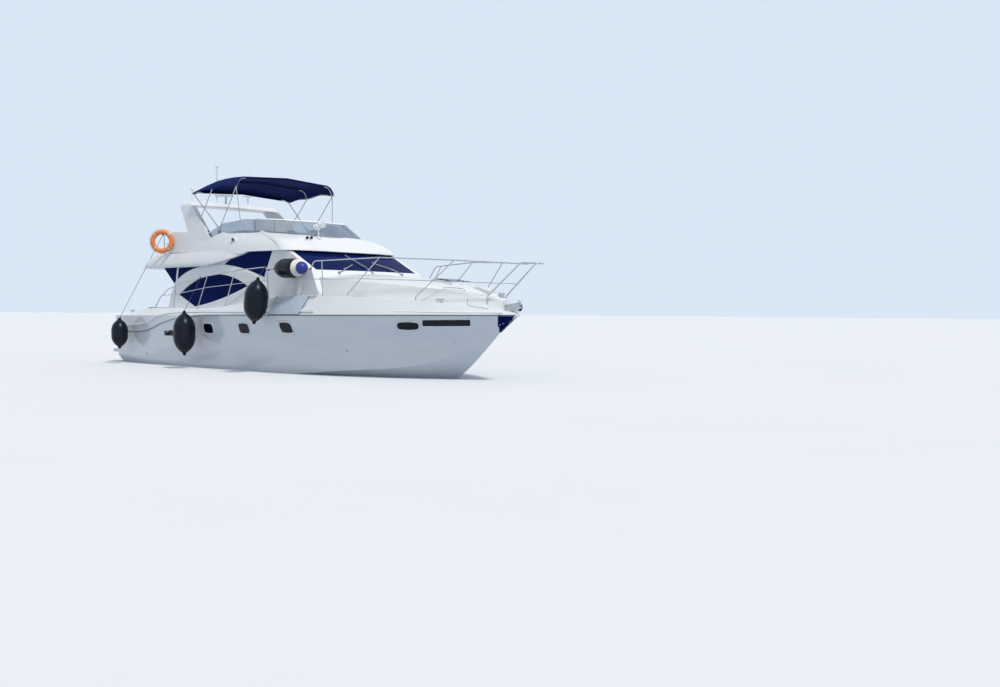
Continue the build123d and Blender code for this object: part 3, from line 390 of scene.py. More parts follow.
def bentBar(points, thick, smoothLine=False, closed=False, sides=3):
    # a round bar along points, thick is its radius
    nothingSelected()
    bpy.ops.curve.primitive_nurbs_path_add(location=(0, 0, 0))
    bar = bpy.context.object
    bar.data.splines.clear()
    line = bar.data.splines.new("NURBS" if smoothLine else "POLY")
    line.points.add(len(points) - 1)
    for at, point in zip(line.points, points):
        at.co = (*point, 1)
    line.use_cyclic_u = closed
    if smoothLine:
        line.order_u = 3
        line.use_endpoint_u = not closed
        line.resolution_u = 8
    bar.data.bevel_depth = thick
    bar.data.bevel_resolution = sides
    bar.data.use_fill_caps = not closed
    return toMesh(bar)


def turnedForm(rows, steps=24, place=(0, 0, 0), along=(0, 0, 1)):
    # rings of (radius, height), each drawn up from the one below
    nothingSelected()
    bpy.ops.mesh.primitive_circle_add(vertices=steps, radius=rows[0][0], fill_type="NGON",
                                      location=(0, 0, rows[0][1]))
    piece = bpy.context.object
    shapeAll(piece)
    for (lowRadius, lowHeight), (radius, height) in zip(rows, rows[1:]):
        bpy.ops.mesh.extrude_region_move(TRANSFORM_OT_translate={"value": (0, 0, height - lowHeight)})
        scale = radius / lowRadius
        bpy.ops.transform.resize(value=(scale, scale, 1), center_override=(0, 0, height))
    bpy.ops.mesh.select_all(action="SELECT")
    bpy.ops.mesh.normals_make_consistent(inside=False)
    bpy.ops.object.mode_set(mode="OBJECT")
    bpy.ops.object.transform_apply(location=True, rotation=True, scale=True)
    piece.rotation_euler = Vector(along).to_track_quat("Z", "Y").to_euler()
    piece.location = place
    return toMesh(piece)


def roundedBlock(centre, size, edge, turn=(0, 0, 0), steps=2):
    nothingSelected()
    bpy.ops.mesh.primitive_cube_add(size=1, location=(0, 0, 0), scale=size)
    piece = bpy.context.object
    bpy.ops.object.transform_apply(location=False, rotation=False, scale=True)
    shapeAll(piece)
    bpy.ops.mesh.bevel(offset=edge, segments=steps, affect="EDGES")
    bpy.ops.object.mode_set(mode="OBJECT")
    piece.rotation_euler = [math.radians(a) for a in turn]
    piece.location = centre
    return toMesh(piece)


def blockBetween(low, high, edge):
    centre = [(a + b) / 2 for a, b in zip(low, high)]
    size = [b - a for a, b in zip(low, high)]
    return roundedBlock(centre, size, edge)


def sheetOf(columns, rows, spotAt, thick, offset=1):
    # a sheet with each corner where spotAt puts it, from s and t between -1 and 1
    nothingSelected()
    bpy.ops.mesh.primitive_grid_add(x_subdivisions=columns, y_subdivisions=rows, size=2, location=(0, 0, 0))
    sheet = bpy.context.object
    for corner in sheet.data.vertices:
        corner.co = spotAt(corner.co.x, corner.co.y)
    sheet.modifiers.new("thickness", "SOLIDIFY").thickness = thick
    sheet.modifiers["thickness"].offset = offset
    onlyThis(sheet)
    bpy.ops.object.modifier_apply(modifier="thickness")
    return sheet


def sideSpot(x, z, node="hull", out=0.0):
    # where the starboard side of a node lies at x and z, moved outwards
    found, spot = nodes[node].ray_cast(Vector((x, -4, z)), Vector((0, 1, 0)))[:2]
    return (spot if found else Vector((x, -0.02, z))) - Vector((0, out, 0))


def frontSpot(y, z, node="windshield"):
    found, spot = nodes[node].ray_cast(Vector((5, y, z)), Vector((-1, 0, 0)))[:2]
    return spot if found else Vector((2.2, y, z))


def throughThree(x, points):
    # the value at x of the smooth line through three (x, value) points
    total = 0
    for own, value in points:
        for other in [point[0] for point in points if point[0] != own]:
            value *= (x - other) / (own - other)
        total += value
    return total


def panelPlace(look, s, t):
    # a point of a rounded, slanted panel, s and t from -1 to 1
    bend = look["round"]
    a = s * (1 - bend + bend * math.sqrt(1 - t * t / 2))
    b = t * (1 - bend + bend * math.sqrt(1 - s * s / 2))
    x = look["x"] + a * look["long"] / 2 + b * look.get("slant", 0)
    z = look["z"] + b * look["high"] / 2 + a * look.get("rise", 0)
    return x, z


def sidePanel(look):
    return sheetOf(18, 8, lambda s, t: sideSpot(*panelPlace(look, s, t), out=look["lift"]), look["thick"])


def sideRim(look, thick, sink):
    around = [(s / 6 - 1, -1) for s in range(12)] + [(1, t / 3 - 1) for t in range(6)]
    around += [(1 - s / 6, 1) for s in range(12)] + [(-1, 1 - t / 3) for t in range(6)]
    return bentBar([sideSpot(*panelPlace(look, s, t), out=-sink) for s, t in around], thick, closed=True)


# Portlights and panels on the topsides

portlights = [{"x": x, "z": z, "long": 0.48, "high": 0.295, "slant": -0.012, "round": 0.5, "lift": 0.001,
               "thick": 0.006} for x, z in ((-1.81, 1.065), (-0.19, 1.092), (1.495, 1.137))]
portlights.append({"x": 5.0, "z": 1.222, "long": 0.54, "high": 0.22, "slant": 0.045, "round": 0.62,
                   "lift": 0.001, "thick": 0.006})
rimShape = {"thick": 0.032, "sink": 0.012}
mirrored([sidePanel(look) for look in portlights], "portlightPanes", "darkPane")
rims = [sideRim(look, **rimShape) for look in portlights]
mirrored(rims, "portlightFrames", "whitePlastic")

nameStrip = {"x": 5.85, "z": 1.291, "long": 0.98, "high": 0.135, "slant": 0.03, "round": 0.06,
             "rise": 0.008, "lift": 0.0005, "thick": 0.003}
mirrored(sidePanel(nameStrip), "blankNameStrip", "blackVinyl", slot=None)

# Boarding gate leaf outside the bulwark, over the mouldings: its corners, foot and head. The leaf is painted
# blue-grey, the painted shade that falls in the gate recess
boarding = {"foot": ((0.96, -2.17, 1.452), (2.13, -2.128, 1.462)),
            "head": ((1.05, -1.982, 1.888), (2.25, -1.905, 1.892)),
            "bow": 0.012, "thick": 0.03, "edge": 0.006}


def leafSpot(s, t):
    along, up = (s + 1) / 2, (t + 1) / 2
    foot, head = [Vector(aft).lerp(Vector(fore), along) for aft, fore in (boarding["foot"], boarding["head"])]
    return foot.lerp(head, up) - Vector((0, boarding["bow"] * 4 * along * (1 - along), 0))


leaf = sheetOf(12, 4, leafSpot, boarding["thick"], offset=-1)
leaf.modifiers.new("softEdge", "BEVEL").width = boarding["edge"]
mirrored(leaf, "boardingPanels", "paintedShadeGelcoat")

# Painted shadow: a grey bar below each navigation light, for the thin drop shadow that runs down from it
dropShadowLine = [sideSpot(-1.41 - 0.18 * t, 3.35 - 0.44 * t, "flybridge", 0.001) for t in (0, 0.25, 0.5, 0.75, 1)]
mirrored(bentBar(dropShadowLine, thick=0.011), "navLightDropShadows", "paintedFrame", slot=None)

# Seam of the bow well, and a low grab rail on the shoulder of the coachroof
wellLine = ((6.17, 1.83), (6.185, 1.715), (6.36, 1.672), (6.56, 1.64), (6.73, 1.606))
wellSeam = bentBar([sideSpot(x, z, "deck", 0.001) for x, z in wellLine], thick=0.006, sides=2)
mirrored(wellSeam, "bowWellSeams", "wiperGrey", slot=None)
grabRail = ((5.557, -0.646, 2.036), (5.585, -0.648, 2.085), (5.80, -0.545, 2.078), (6.006, -0.42, 2.062),
            (6.034, -0.404, 2.01))
mirrored(bentBar(grabRail, thick=0.0105), "coachroofGrabRails", "polishedSteel")

# Chafe panels each side of the stem: upright edge aft, drawn to a point down the stem
stem = {"aft": 6.925, "lean": 0.58, "top": 1.455, "foot": 1.09, "run": 1.25, "from": (6.53, 0.92),
        "gap": 0.004, "least": 0.01, "lift": 0.002, "thick": 0.005}


def stemSpot(s, t):
    z = stem["foot"] + (t + 1) / 2 * (stem["top"] - stem["foot"])
    edge = stem["from"][0] + stem["run"] * (z - stem["from"][1]) - stem["gap"]
    low = min(stem["aft"] - stem["lean"] * (stem["top"] - z), edge - stem["least"])
    return sideSpot(low + (s + 1) / 2 * (edge - low), z, out=stem["lift"])


mirrored(sheetOf(10, 10, stemSpot, stem["thick"]), "stemPanels", "navyGlass")

# The round white moulding above the rub rail, which swoops down each quarter, and its small neighbour
sweeps = (
    (0.026, ((-6.86, 1.085), (-6.0, 1.09), (-5.1, 1.165), (-4.65, 1.285), (-4.2, 1.41), (-3.5, 1.49),
             (-2.6, 1.512), (-1.5, 1.52), (0.5, 1.537), (2.6, 1.552), (4.4, 1.545), (5.6, 1.53), (6.5, 1.525),
             (7.0, 1.53))),
    (0.016, ((-6.86, 0.93), (-5.5, 0.945), (-4.9, 1.01), (-4.3, 1.165), (-3.5, 1.315), (-2.4, 1.425),
             (-1.5, 1.43), (0, 1.442), (2, 1.457), (4, 1.472), (6, 1.487), (7.0, 1.495))),
)
mouldings = []
for thick, line in sweeps:
    points = [max(sideSpot(x, z), sideSpot(x, z, "deck"), key=lambda spot: -spot.y) for x, z in line]
    mouldings.append(bentBar(points, thick, smoothLine=True, sides=4))
mirrored(mouldings, "sheerMouldings", "houseGelcoat", smooth=60)

# Louvres in the engine room intake, over a black sheet that paints the shade inside the opening
louvres = {"x": (-4.06, -3.5), "foot": 0.845, "pitch": 0.036, "shorter": 0.085, "count": 4, "sink": 0.012,
           "deep": 0.05, "thick": 0.009, "edge": 0.003, "turn": (24, 0, 0)}
slats = []
for step in range(louvres["count"]):
    z = louvres["foot"] + step * louvres["pitch"]
    low = louvres["x"][0] + step * louvres["shorter"]
    middle = (low + louvres["x"][1]) / 2
    slats.append(roundedBlock((middle, sideSpot(middle, z).y - louvres["sink"], z),
                              (louvres["x"][1] - low, louvres["deep"], louvres["thick"]), louvres["edge"],
                              louvres["turn"]))
mirrored(slats, "intakeLouvres", "blackPlastic")
# painted shade: a black sheet on the topsides where the intake opening lies in shade
intakeShadePatch = {"x": -3.82, "z": 0.905, "long": 0.52, "high": 0.12, "round": 0.2, "lift": 0.002, "thick": 0.004}
mirrored(sidePanel(intakeShadePatch), "intakePaintedShade", "blackPlastic")

# Skin fittings: bow drain and cooling water outlets
outlet = {"rows": [(0.034, 0), (0.034, 0.006), (0.026, 0.012), (0.017, 0.012), (0.015, 0.003)],
          "places": ((5.825, 0.877), (-2.9, 0.32), (-5.2, 0.3), (3.2, 0.62)), "along": (0, -1, -0.1)}
outlets = [turnedForm(outlet["rows"], 20, sideSpot(x, z), outlet["along"]) for x, z in outlet["places"]]
mirrored(outlets, "skinFittings", "polishedSteel")
print("topsides fitted")

# Feet of the rails
feet = {"rows": [(0.040, 0), (0.041, 0.004), (0.038, 0.009), (0.022, 0.013), (0.018, 0.03)],
        "places": ((3.35, 1.587, 1.855), (5.1, 1.063, 1.778), (2.46, 1.712, 1.86), (1.85, 1.827, 1.862),
                   (6.6, 0.3, 1.63), (-4.95, 1.868, 1.545), (-3.85, 1.897, 1.588), (-2.6, 1.916, 1.585),
                   (-1.27, 1.917, 1.645), (0.7, 1.935, 1.812))}
railFeet = [turnedForm(feet["rows"], 20, place) for place in feet["places"]]
mirrored(railFeet, "railFeet", "polishedSteel")

# Cleat base plates
plates = [roundedBlock(place, (0.19, 0.055, 0.016), edge=0.006)
          for place in ((5.65, 0.839, 1.757), (-0.3, 1.877, 1.74), (-6.35, 1.776, 1.462))]
mirrored(plates, "cleatPlates", "polishedSteel")

# Wipers, one for each pane of the windshield: pivot, lean across and rise of the arm
wiper = {"arms": ((-1.05, 0.46, 0.15), (-0.06, -0.10, 0.33), (0.96, -0.40, 0.21)), "foot": 2.47, "arm": 0.012,
         "blade": 0.014, "reach": (0.5, 0.975, 1.45), "lowest": 2.565,
         "boss": [(0.034, -0.012), (0.034, 0.014), (0.024, 0.026), (0.01, 0.028)], "along": (0.8, 0, 0.6)}


def glassSpot(y, z, forward, up=0.0):
    # on the windshield or the house below it, moved off by a little
    spot = frontSpot(y, z, "deckhouse")
    return (spot if spot.x > 1.5 else frontSpot(y, z)) + Vector((forward, 0, up))


arms, blades, bosses = [], [], []
for y, lean, rise in wiper["arms"]:
    foot = glassSpot(y, wiper["foot"], 0.012)
    bosses.append(turnedForm(wiper["boss"], 16, foot, wiper["along"]))
    line = [foot + Vector((0.015, 0, 0.008))]
    line += [glassSpot(y + lean * t, wiper["foot"] + rise * t, *off)
             for t, off in ((0.4, (0.05, 0.02)), (0.7, (0.05, 0.02)), (1, (0.034, 0.01)))]
    arms.append(bentBar(line, wiper["arm"], smoothLine=True, sides=2))
    line = [glassSpot(y + lean * t, max(wiper["lowest"], wiper["foot"] + rise * t), 0.018, 0.004)
            for t in wiper["reach"]]
    blades.append(bentBar(line, wiper["blade"], sides=2))
finished(bosses + arms, "wiperArms", "wiperGrey")
finished(blades, "wiperBlades", "wiperGrey", slot="black_rubber")

# Joints between the three panes
joints = [bentBar([frontSpot(y, z) + Vector((0.002, 0, 0)) for z in (2.56, 2.7, 2.85, 3.0)],
                  thick=0.007, sides=2) for y in (-0.56, 0.56)]
finished(joints, "windshieldJoints", "blackRubber")
print("windshield fitted")

# Hoods and lenses of the two lamp heads over the brow
lamps = {"centres": ((0.89, -0.58, 3.68), (0.93, -0.45, 3.74)), "along": (0.8, 0.3, 0.2),
         "hood": [(0.079, -0.03), (0.084, -0.026), (0.084, 0.012), (0.078, 0.018), (0.07, 0.012),
                  (0.066, -0.002)],
         "lens": [(0.066, 0.001), (0.062, 0.008), (0.045, 0.014), (0.02, 0.017)]}
for key, name, finish in (("hood", "lampHoods", "whitePlastic"), ("lens", "lampLenses", "lensGlass")):
    heads = [turnedForm(lamps[key], 28, centre, lamps["along"]) for centre in lamps["centres"]]
    finished(heads, name, finish)

# Navigation light pads
navPad = roundedBlock((-1.305, -1.60, 3.385), (0.15, 0.10, 0.12), edge=0.018, turn=(14, 0, 0), steps=3)
mirrored(navPad, "navLightPads", "houseGelcoat", slot="white_plastic")

# Two small horns on the brow, their mouths forward
horn = {"mouth": [(0.014, -0.07), (0.02, -0.03), (0.026, 0.0), (0.037, 0.03), (0.037, 0.035), (0.03, 0.03),
                  (0.014, 0.0)],
        "mouths": ((0.925, -0.947, 3.378), (0.91, -0.808, 3.386)), "along": (0.97, -0.1, 0.15),
        "foot": [(0.02, -0.03), (0.012, 0.0), (0.012, 0.03)],
        "feet": ((0.89, -0.947, 3.362), (0.875, -0.808, 3.37))}
horns = [turnedForm(horn["mouth"], 24, spot, horn["along"]) for spot in horn["mouths"]]
horns += [turnedForm(horn["foot"], 14, spot) for spot in horn["feet"]]
finished(horns, "browHorns", "blackPlastic")

# Black flash on the front of each arch leg, low down
flash = roundedBlock((-2.685, -1.485, 3.621), (0.25, 0.05, 0.012), edge=0.004, turn=(0, 39.7, 0))
mirrored(flash, "archLegFlashes", "blackPlastic")
print("lamps fitted")

# Everything on the arch beam, turned anew: rings, steps round, place and axis of each form
beamForms = (
    ([(0.20, 0), (0.262, 0.008), (0.275, 0.03), (0.270, 0.055), (0.235, 0.074), (0.14, 0.086), (0.03, 0.09)],
     40, (-4.05, -0.18, 4.802)),
    ([(0.11, 0), (0.158, 0.006), (0.165, 0.024), (0.158, 0.045), (0.12, 0.058), (0.03, 0.063)],
     32, (-4.05, 0.63, 4.852)),
    ([(0.05, 0), (0.05, 0.012), (0.034, 0.02), (0.032, 0.24)], 20, (-4.05, -0.11, 4.569)),
    ([(0.034, 0), (0.034, 0.01), (0.018, 0.016), (0.017, 0.285)], 16, (-4.05, 0.63, 4.569)),
    ([(0.034, 0), (0.034, 0.012), (0.015, 0.02), (0.0135, 1.06), (0.010, 1.08)], 16, (-4.05, -0.41, 4.571)),
    ([(0.018, 0), (0.035, 0.01), (0.036, 0.05), (0.024, 0.064), (0.006, 0.067)], 20, (-4.05, -0.41, 5.61)),
    *(([(0.018, 0), (0.034, 0.006), (0.034, 0.026), (0.018, 0.034)], 24, (-4.05, -0.41, 5.29 + step * 0.08))
      for step in range(4)),
    ([(0.026, 0), (0.026, 0.012), (0.012, 0.02), (0.011, 0.37)], 16, (-4.15, -1.14, 4.569)),
    ([(0.02, 0), (0.045, 0.012), (0.048, 0.06), (0.036, 0.085), (0.01, 0.094)], 20, (-4.15, -1.14, 4.91)),
    ([(0.032, 0), (0.032, 0.03), (0.018, 0.05), (0.016, 0.14), (0.013, 0.9), (0.009, 1.45)],
     14, (-4.0, 1.1, 4.569), (-0.75, 0, 1.25)),
)
beamSet = finished([turnedForm(*form) for form in beamForms], "antennaSet", "whitePlastic")
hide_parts("antennas")
print("antennas on the arch")

# Anchor roller: black wheel in the cheeks and the white ball on its stem
wheelRows = [(0.03, -0.042), (0.04, -0.036), (0.031, -0.012), (0.031, 0.012), (0.04, 0.036), (0.03, 0.042)]
finished(turnedForm(wheelRows, 28, (7.29, 0, 1.65), (0, 1, 0)), "rollerWheel", "blackRubber")
ballRows = [(0.012, -0.045), (0.030, -0.036), (0.044, -0.012), (0.046, 0.01), (0.036, 0.034), (0.012, 0.047)]
finished(turnedForm(ballRows, 28, (7.3, 0, 1.785)), "rollerBall", "whitePlastic")

# Fenders: a collar and eye on each end, and on the stowed one a pale cap round a blue boss
fenders = {
    "upright": (((-6.06, -2.33, 0.865), 0.88, 0), ((-2.32, -2.47, 0.935), 1.18, 0),
                ((0.96, -2.48, 1.775), 1.14, 9)),
    "centre": (1.64, -2.0, 2.56), "radius": 0.235, "length": 1.2, "neck": 0.034, "lift": 0.012,
    "collar": [(0.04, 0), (0.05, 0.008), (0.05, 0.03), (0.038, 0.038), (0.037, 0.055), (0.02, 0.058)],
    "boss": [(0.15, 0.46), (0.15, 0.5), (0.14, 0.55), (0.11, 0.6), (0.06, 0.632), (0.014, 0.64)],
    "lashing": ((1.06, -1.96, 2.56), (1.03, -1.952, 2.575), (0.985, -1.955, 2.566), (0.96, -1.965, 2.555),
                (0.93, -1.968, 2.552)),
}


def fenderCollar(centre, length, along):
    return turnedForm(fenders["collar"], 20, Vector(centre) + along * (0.45 * length - 0.012), along)


def capRows(start):
    # rings on the end of the stowed fender, from a share of its neck height to the neck
    half = fenders["length"] / 2
    neck = half - 0.05 * fenders["length"]
    side = ((0.12 * half, fenders["radius"]), (0.63 * neck, 0.80 * fenders["radius"]),
            (neck, fenders["neck"]))
    heights = [start * neck + (1 - start) * neck * step / 8 for step in range(9)]
    return [(max(throughThree(height, side), fenders["neck"]) + fenders["lift"], height)
            for height in heights]


collars = []
for centre, length, lean in fenders["upright"]:
    along = Vector((math.sin(math.radians(lean)), 0, math.cos(math.radians(lean))))
    collars += [fenderCollar(centre, length, along * way) for way in (1, -1)]
collars.append(fenderCollar(fenders["centre"], fenders["length"], Vector((-1, 0, 0))))
collars.append(bentBar(fenders["lashing"], thick=0.009, smoothLine=True))
finished(collars, "fenderCollars", "blackVinyl")
pale = turnedForm([*capRows(0.6), (0.036, 0.572)], 40, fenders["centre"], (1, 0, 0))
finished(pale, "fenderPaleCap", "paleBand")
finished(turnedForm(fenders["boss"], 32, fenders["centre"], (1, 0, 0)), "fenderBlueBoss", "blueVinyl")

# Knots where the fender lines meet the rails
knot = {"places": ((-5.405, -1.338, 3.70), (-2.385, -1.949, 2.40), (0.56, -1.942, 2.616),
                   (0.702, -1.94, 2.54), (2.42, -1.955, 2.53)),
        "pitch": 0.012, "ring": 0.021, "step": 0.63, "thick": 0.007}
knots = []
for x, y, z in knot["places"]:
    turns = [Vector((x + knot["pitch"] * (step / 10 - 1), y + knot["ring"] * math.cos(step * knot["step"]),
                     z + knot["ring"] * math.sin(step * knot["step"]))) for step in range(24)]
    knots.append(bentBar(turns, knot["thick"], smoothLine=True, sides=2))
finished(knots, "fenderKnots", "darkRope")
print("fenders dressed")

# Lifebuoy: four pale bands between dark ties, and a grab line tied at each
buoy = {"centre": Vector((-4.52, -1.86, 3.45)), "ring": 0.262, "tube": 0.066, "line": 0.347,
        "across": Vector((0.714, 0.70, 0)), "slack": 0.012}


def buoyPoint(turn, reach):
    angle = math.radians(turn)
    return buoy["centre"] + reach * (math.cos(angle) * Vector((0, 0, 1)) + math.sin(angle) * buoy["across"])


def buoyBand(turns, proud):
    return bentBar([buoyPoint(turn, buoy["ring"]) for turn in turns], buoy["tube"] + proud, sides=10)


bands, ties = [], []
for turn in (45, 135, 225, 315):
    bands.append(buoyBand(range(turn - 13, turn + 14, 2), 0.003))
    ties += [buoyBand((turn + way - 1, turn + way + 1), 0.006) for way in (-9, 9)]
finished(bands, "lifebuoyBands", "paleOrange")
finished(ties, "lifebuoyTies", "blackVinyl", slot="orange_plastic")
grab = [buoyPoint(turn, buoy["line"] + buoy["slack"] * math.sin(math.radians(2 * turn)) ** 2)
        for turn in range(0, 360, 10)]
grabLine = bentBar(grab, thick=0.0055, smoothLine=True, closed=True, sides=2)
finished(grabLine, "lifebuoyLine", "whiteRope")
print("lifebuoy dressed")


# Canvas top: one cloth over the three hoops, with a hem and sewn seams

canopy = {"hoops": ((-3.40, 4.72, 4.91), (-2.45, 4.78, 5.12), (-1.23, 4.785, 5.13)), "half": 1.597,
          "shoulder": 1.49, "flat": 1.32, "bend": 0.86, "knee": (0.016, 0.008), "drop": 0.095, "crown": 0.004,
          "sag": 0.012, "scallop": (0.03, 0.055), "cloth": 0.004, "hem": 0.009, "under": 0.006,
          "sleeve": 0.0185, "seam": 0.0025, "pocket": 0.088, "along": 26, "across": 36}
backX, middleX, frontX = [hoop[0] for hoop in canopy["hoops"]]


def clothX(part):
    return backX + part * (frontX - backX)


def canopySpot(x, share, lift=0.0):
    # share runs from -1 at the starboard edge to 1 at port, along the cloth
    sideZ, crownZ = [throughThree(x, [(hoop[0], hoop[column]) for hoop in canopy["hoops"]])
                     for column in (1, 2)]
    aft = x < middleX
    span = (x - backX) / (middleX - backX) if aft else (x - middleX) / (frontX - middleX)
    swell = math.sin(math.pi * span) ** 2
    lifted = canopy["scallop"][0 if aft else 1] * swell
    slope = canopy["drop"] / canopy["shoulder"]
    flat, bend = canopy["flat"], canopy["bend"]
    size = abs(share)
    if size < bend:
        y = flat * size / bend
        z = crownZ - slope * y - canopy["crown"] * (1 - size / bend)
    else:
        t = (size - bend) / (1 - bend)
        start = (flat, crownZ - slope * flat)
        knee = (canopy["shoulder"] + canopy["knee"][0], crownZ - canopy["drop"] + canopy["knee"][1])
        end = (canopy["half"] - 0.2 * lifted, sideZ + lifted)
        y, z = [(1 - t) ** 2 * a + 2 * t * (1 - t) * b + t * t * c for a, b, c in zip(start, knee, end)]
    z -= canopy["sag"] * swell * (1 - share ** 4)
    return Vector((x, math.copysign(y, share), z + lift))


def pocketSpot(share, up):
    # hangs inside the aft edge, to nothing at the sides
    down = (1 - up) / 2
    drop = 0.004 + down * canopy["pocket"] * (1.04 - share ** 6)
    return canopySpot(backX + 0.004 + 0.05 * down, share, -drop)


def overCloth(x, lift, reach=24):
    return [canopySpot(x, s / 24, lift) for s in range(-reach, reach + 1)]


cloth = sheetOf(canopy["along"], canopy["across"], lambda s, t: canopySpot(clothX((s + 1) / 2), t),
                canopy["cloth"], offset=-1)
cloth.modifiers.new("smoothing", "SUBSURF").levels = 1
cloth.modifiers["smoothing"].render_levels = 1
canopyCloth = finished(cloth, "canopyCloth", "navyCanvas", tidy=False, smooth=60)
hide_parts("bimini_canopy")
under = canopy["under"]
edge = overCloth(frontX - under, -under) + [canopySpot(clothX(r / 16), 1, -under) for r in range(15, 0, -1)]
edge += overCloth(backX + under, -under)[::-1]
edge += [canopySpot(clothX(r / 16), -1, -under) for r in range(1, 16)]
hem = finished(bentBar(edge, canopy["hem"], closed=True), "canopyHem", "navyCanvas")
sleeves = [bentBar(overCloth(x, drop, 20), canopy["sleeve"], sides=4)
           for x, drop in ((-3.34, -0.076), (-2.45, -0.031), (-1.29, -0.037))]
sleeve = finished(sleeves, "canopySleeves", "navyCanvas", smooth=60)
pocket = finished(sheetOf(48, 2, pocketSpot, thick=0.002, offset=-1), "canopyPocket", "navyCanvas", smooth=60)
seams = [bentBar(overCloth(x, 0.001), canopy["seam"], sides=2) for x in (-2.42, -2.48, -3.3, -1.33)]
sewn = finished(seams, "canopySeams", "navyCanvas")


def lineLength(points):
    return sum((b - a).length for a, b in zip(points, points[1:]))


clothWidth = 2 * lineLength([canopySpot(middleX, s / 40) for s in range(41)])
clothLength = lineLength([canopySpot(clothX(r / 20), 0.01) for r in range(21)])
print("canvas top stretched,", round(clothWidth, 2), "by", round(clothLength, 2))

# Hinge knuckles of the canvas frame
knuckleRows = [(0.018, -0.02), (0.024, -0.016), (0.024, 0.016), (0.018, 0.02)]
knuckles = [turnedForm(knuckleRows, 20, place, (0, 1, 0.2)) for place in
            ((-2.2, 1.49, 3.712), (-3.34, 1.566, 4.725), (-1.29, 1.566, 4.78), (-2.45, 1.566, 4.78))]
mirrored(knuckles, "canvasFrameKnuckles", "polishedSteel")


# Cushions: crowned, drawn in between their corners, with piping round them

def softPad(low, high, crownAxis=2, crown=0.16, pinch=0.018):
    nothingSelected()
    bpy.ops.mesh.primitive_cube_add(size=2, location=(0, 0, 0))
    pad = bpy.context.object
    shapeAll(pad)
    bpy.ops.mesh.subdivide(number_cuts=7)
    bpy.ops.object.mode_set(mode="OBJECT")
    middle = [(a + b) / 2 for a, b in zip(low, high)]
    half = [(b - a) / 2 for a, b in zip(low, high)]
    first, second = [axis for axis in range(3) if axis != crownAxis]
    corner = min(half) * 0.55
    for vertex in pad.data.vertices:
        unit = list(vertex.co)
        place = [unit[axis] * half[axis] for axis in range(3)]
        core = [max(-(half[axis] - corner), min(half[axis] - corner, place[axis])) for axis in range(3)]
        away = Vector(place) - Vector(core)
        place = list(Vector(core) + (away.normalized() * corner if away.length > 1e-6 else away))
        full = (1 - unit[first] ** 2) * (1 - unit[second] ** 2)
        place[crownAxis] *= 1 - crown + crown * full ** 0.6
        place[first] *= 1 - pinch * (1 - unit[second] ** 2)
        place[second] *= 1 - pinch * (1 - unit[first] ** 2)
        vertex.co = Vector(place) + Vector(middle)
    pad.modifiers.new("smoothing", "SUBSURF").levels = 1
    pad.modifiers["smoothing"].render_levels = 1
    return pad


def padPiping(low, high, level, crownAxis, inset=0.012, corner=0.045):
    first, second = [axis for axis in range(3) if axis != crownAxis]
    middle = [(a + b) / 2 for a, b in zip(low, high)]
    half = [(b - a) / 2 - inset for a, b in zip(low, high)]
    points = []
    for signA, signB, start in ((1, 1, 0), (-1, 1, 90), (-1, -1, 180), (1, -1, 270)):
        for step in range(0, 91, 15):
            angle = math.radians(start + step)
            spot = [0.0, 0.0, 0.0]
            spot[first] = middle[first] + signA * (half[first] - corner) + corner * math.cos(angle)
            spot[second] = middle[second] + signB * (half[second] - corner) + corner * math.sin(angle)
            spot[crownAxis] = middle[crownAxis] + level
            points.append(Vector(spot))
    return bentBar(points, thick=0.0055, closed=True, sides=2)


# Each row of pads: its ranges along X, along Y and along Z, and the axis it is crowned on
helmY = ((-1.08, -0.48), (-0.47, 0.13))
sofaX = ((-2.8, -2.23), (-2.22, -1.65))
benchY = ((-1.37, -0.68), (-0.67, 0.01), (0.02, 0.70))
seats = {
    "helmSeat": {"node": "helm_seat", "bases": [((-1.15, -1.05, 3.112), (-0.75, 0.10, 3.44))],
                 "pads": [([(-1.18, -0.70)], helmY, [(3.44, 3.56)], 2),
                          ([(-1.24, -1.12)], helmY, [(3.5, 3.95)], 0)]},
    "bridgeSettee": {"node": "flybridge_settee",
                     "bases": [((-3.3, 0.76, 3.112), (-1.65, 1.235, 3.39)),
                               ((-3.38, 0.2, 3.112), (-2.82, 0.83, 3.39))],
                     "pads": [(sofaX, [(0.76, 1.16)], [(3.39, 3.5)], 2),
                              ([(-3.29, -2.82)], [(0.2, 1.16)], [(3.39, 3.5)], 2),
                              (sofaX, [(1.15, 1.265)], [(3.44, 3.74)], 1),
                              ([(-3.4, -3.28)], [(0.2, 0.84)], [(3.36, 3.74)], 0)]},
    "cockpitBench": {"node": "cockpit_seat", "bases": [((-6.248, -1.378, 0.765), (-5.76, 0.70, 1.15))],
                     "pads": [([(-6.13, -5.74)], benchY, [(1.15, 1.26)], 2),
                              ([(-6.25, -6.13)], benchY, [(1.17, 1.62)], 0)]},
}
for name, seat in seats.items():
    base = finished([blockBetween(low, high, edge=0.014) for low, high in seat["bases"]], name + "Base",
                    "houseGelcoat")
    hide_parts(seat["node"])
    pads = [(*zip(*ranges), axis) for *runs, axis in seat["pads"] for ranges in itertools.product(*runs)]
    for count, (low, high, axis) in enumerate(pads, 1):
        pad = finished(softPad(low, high, axis), f"{name}Pad{count}", "seatVinyl", tidy=False, smooth=60)
    pipes = [padPiping(low, high, way * (high[axis] - low[axis]) / 2 * 0.42, axis) for low, high, axis in pads
             for way in (-1, 1)]
    finished(pipes, name + "Piping", "seatVinyl")
print("cushions sewn")

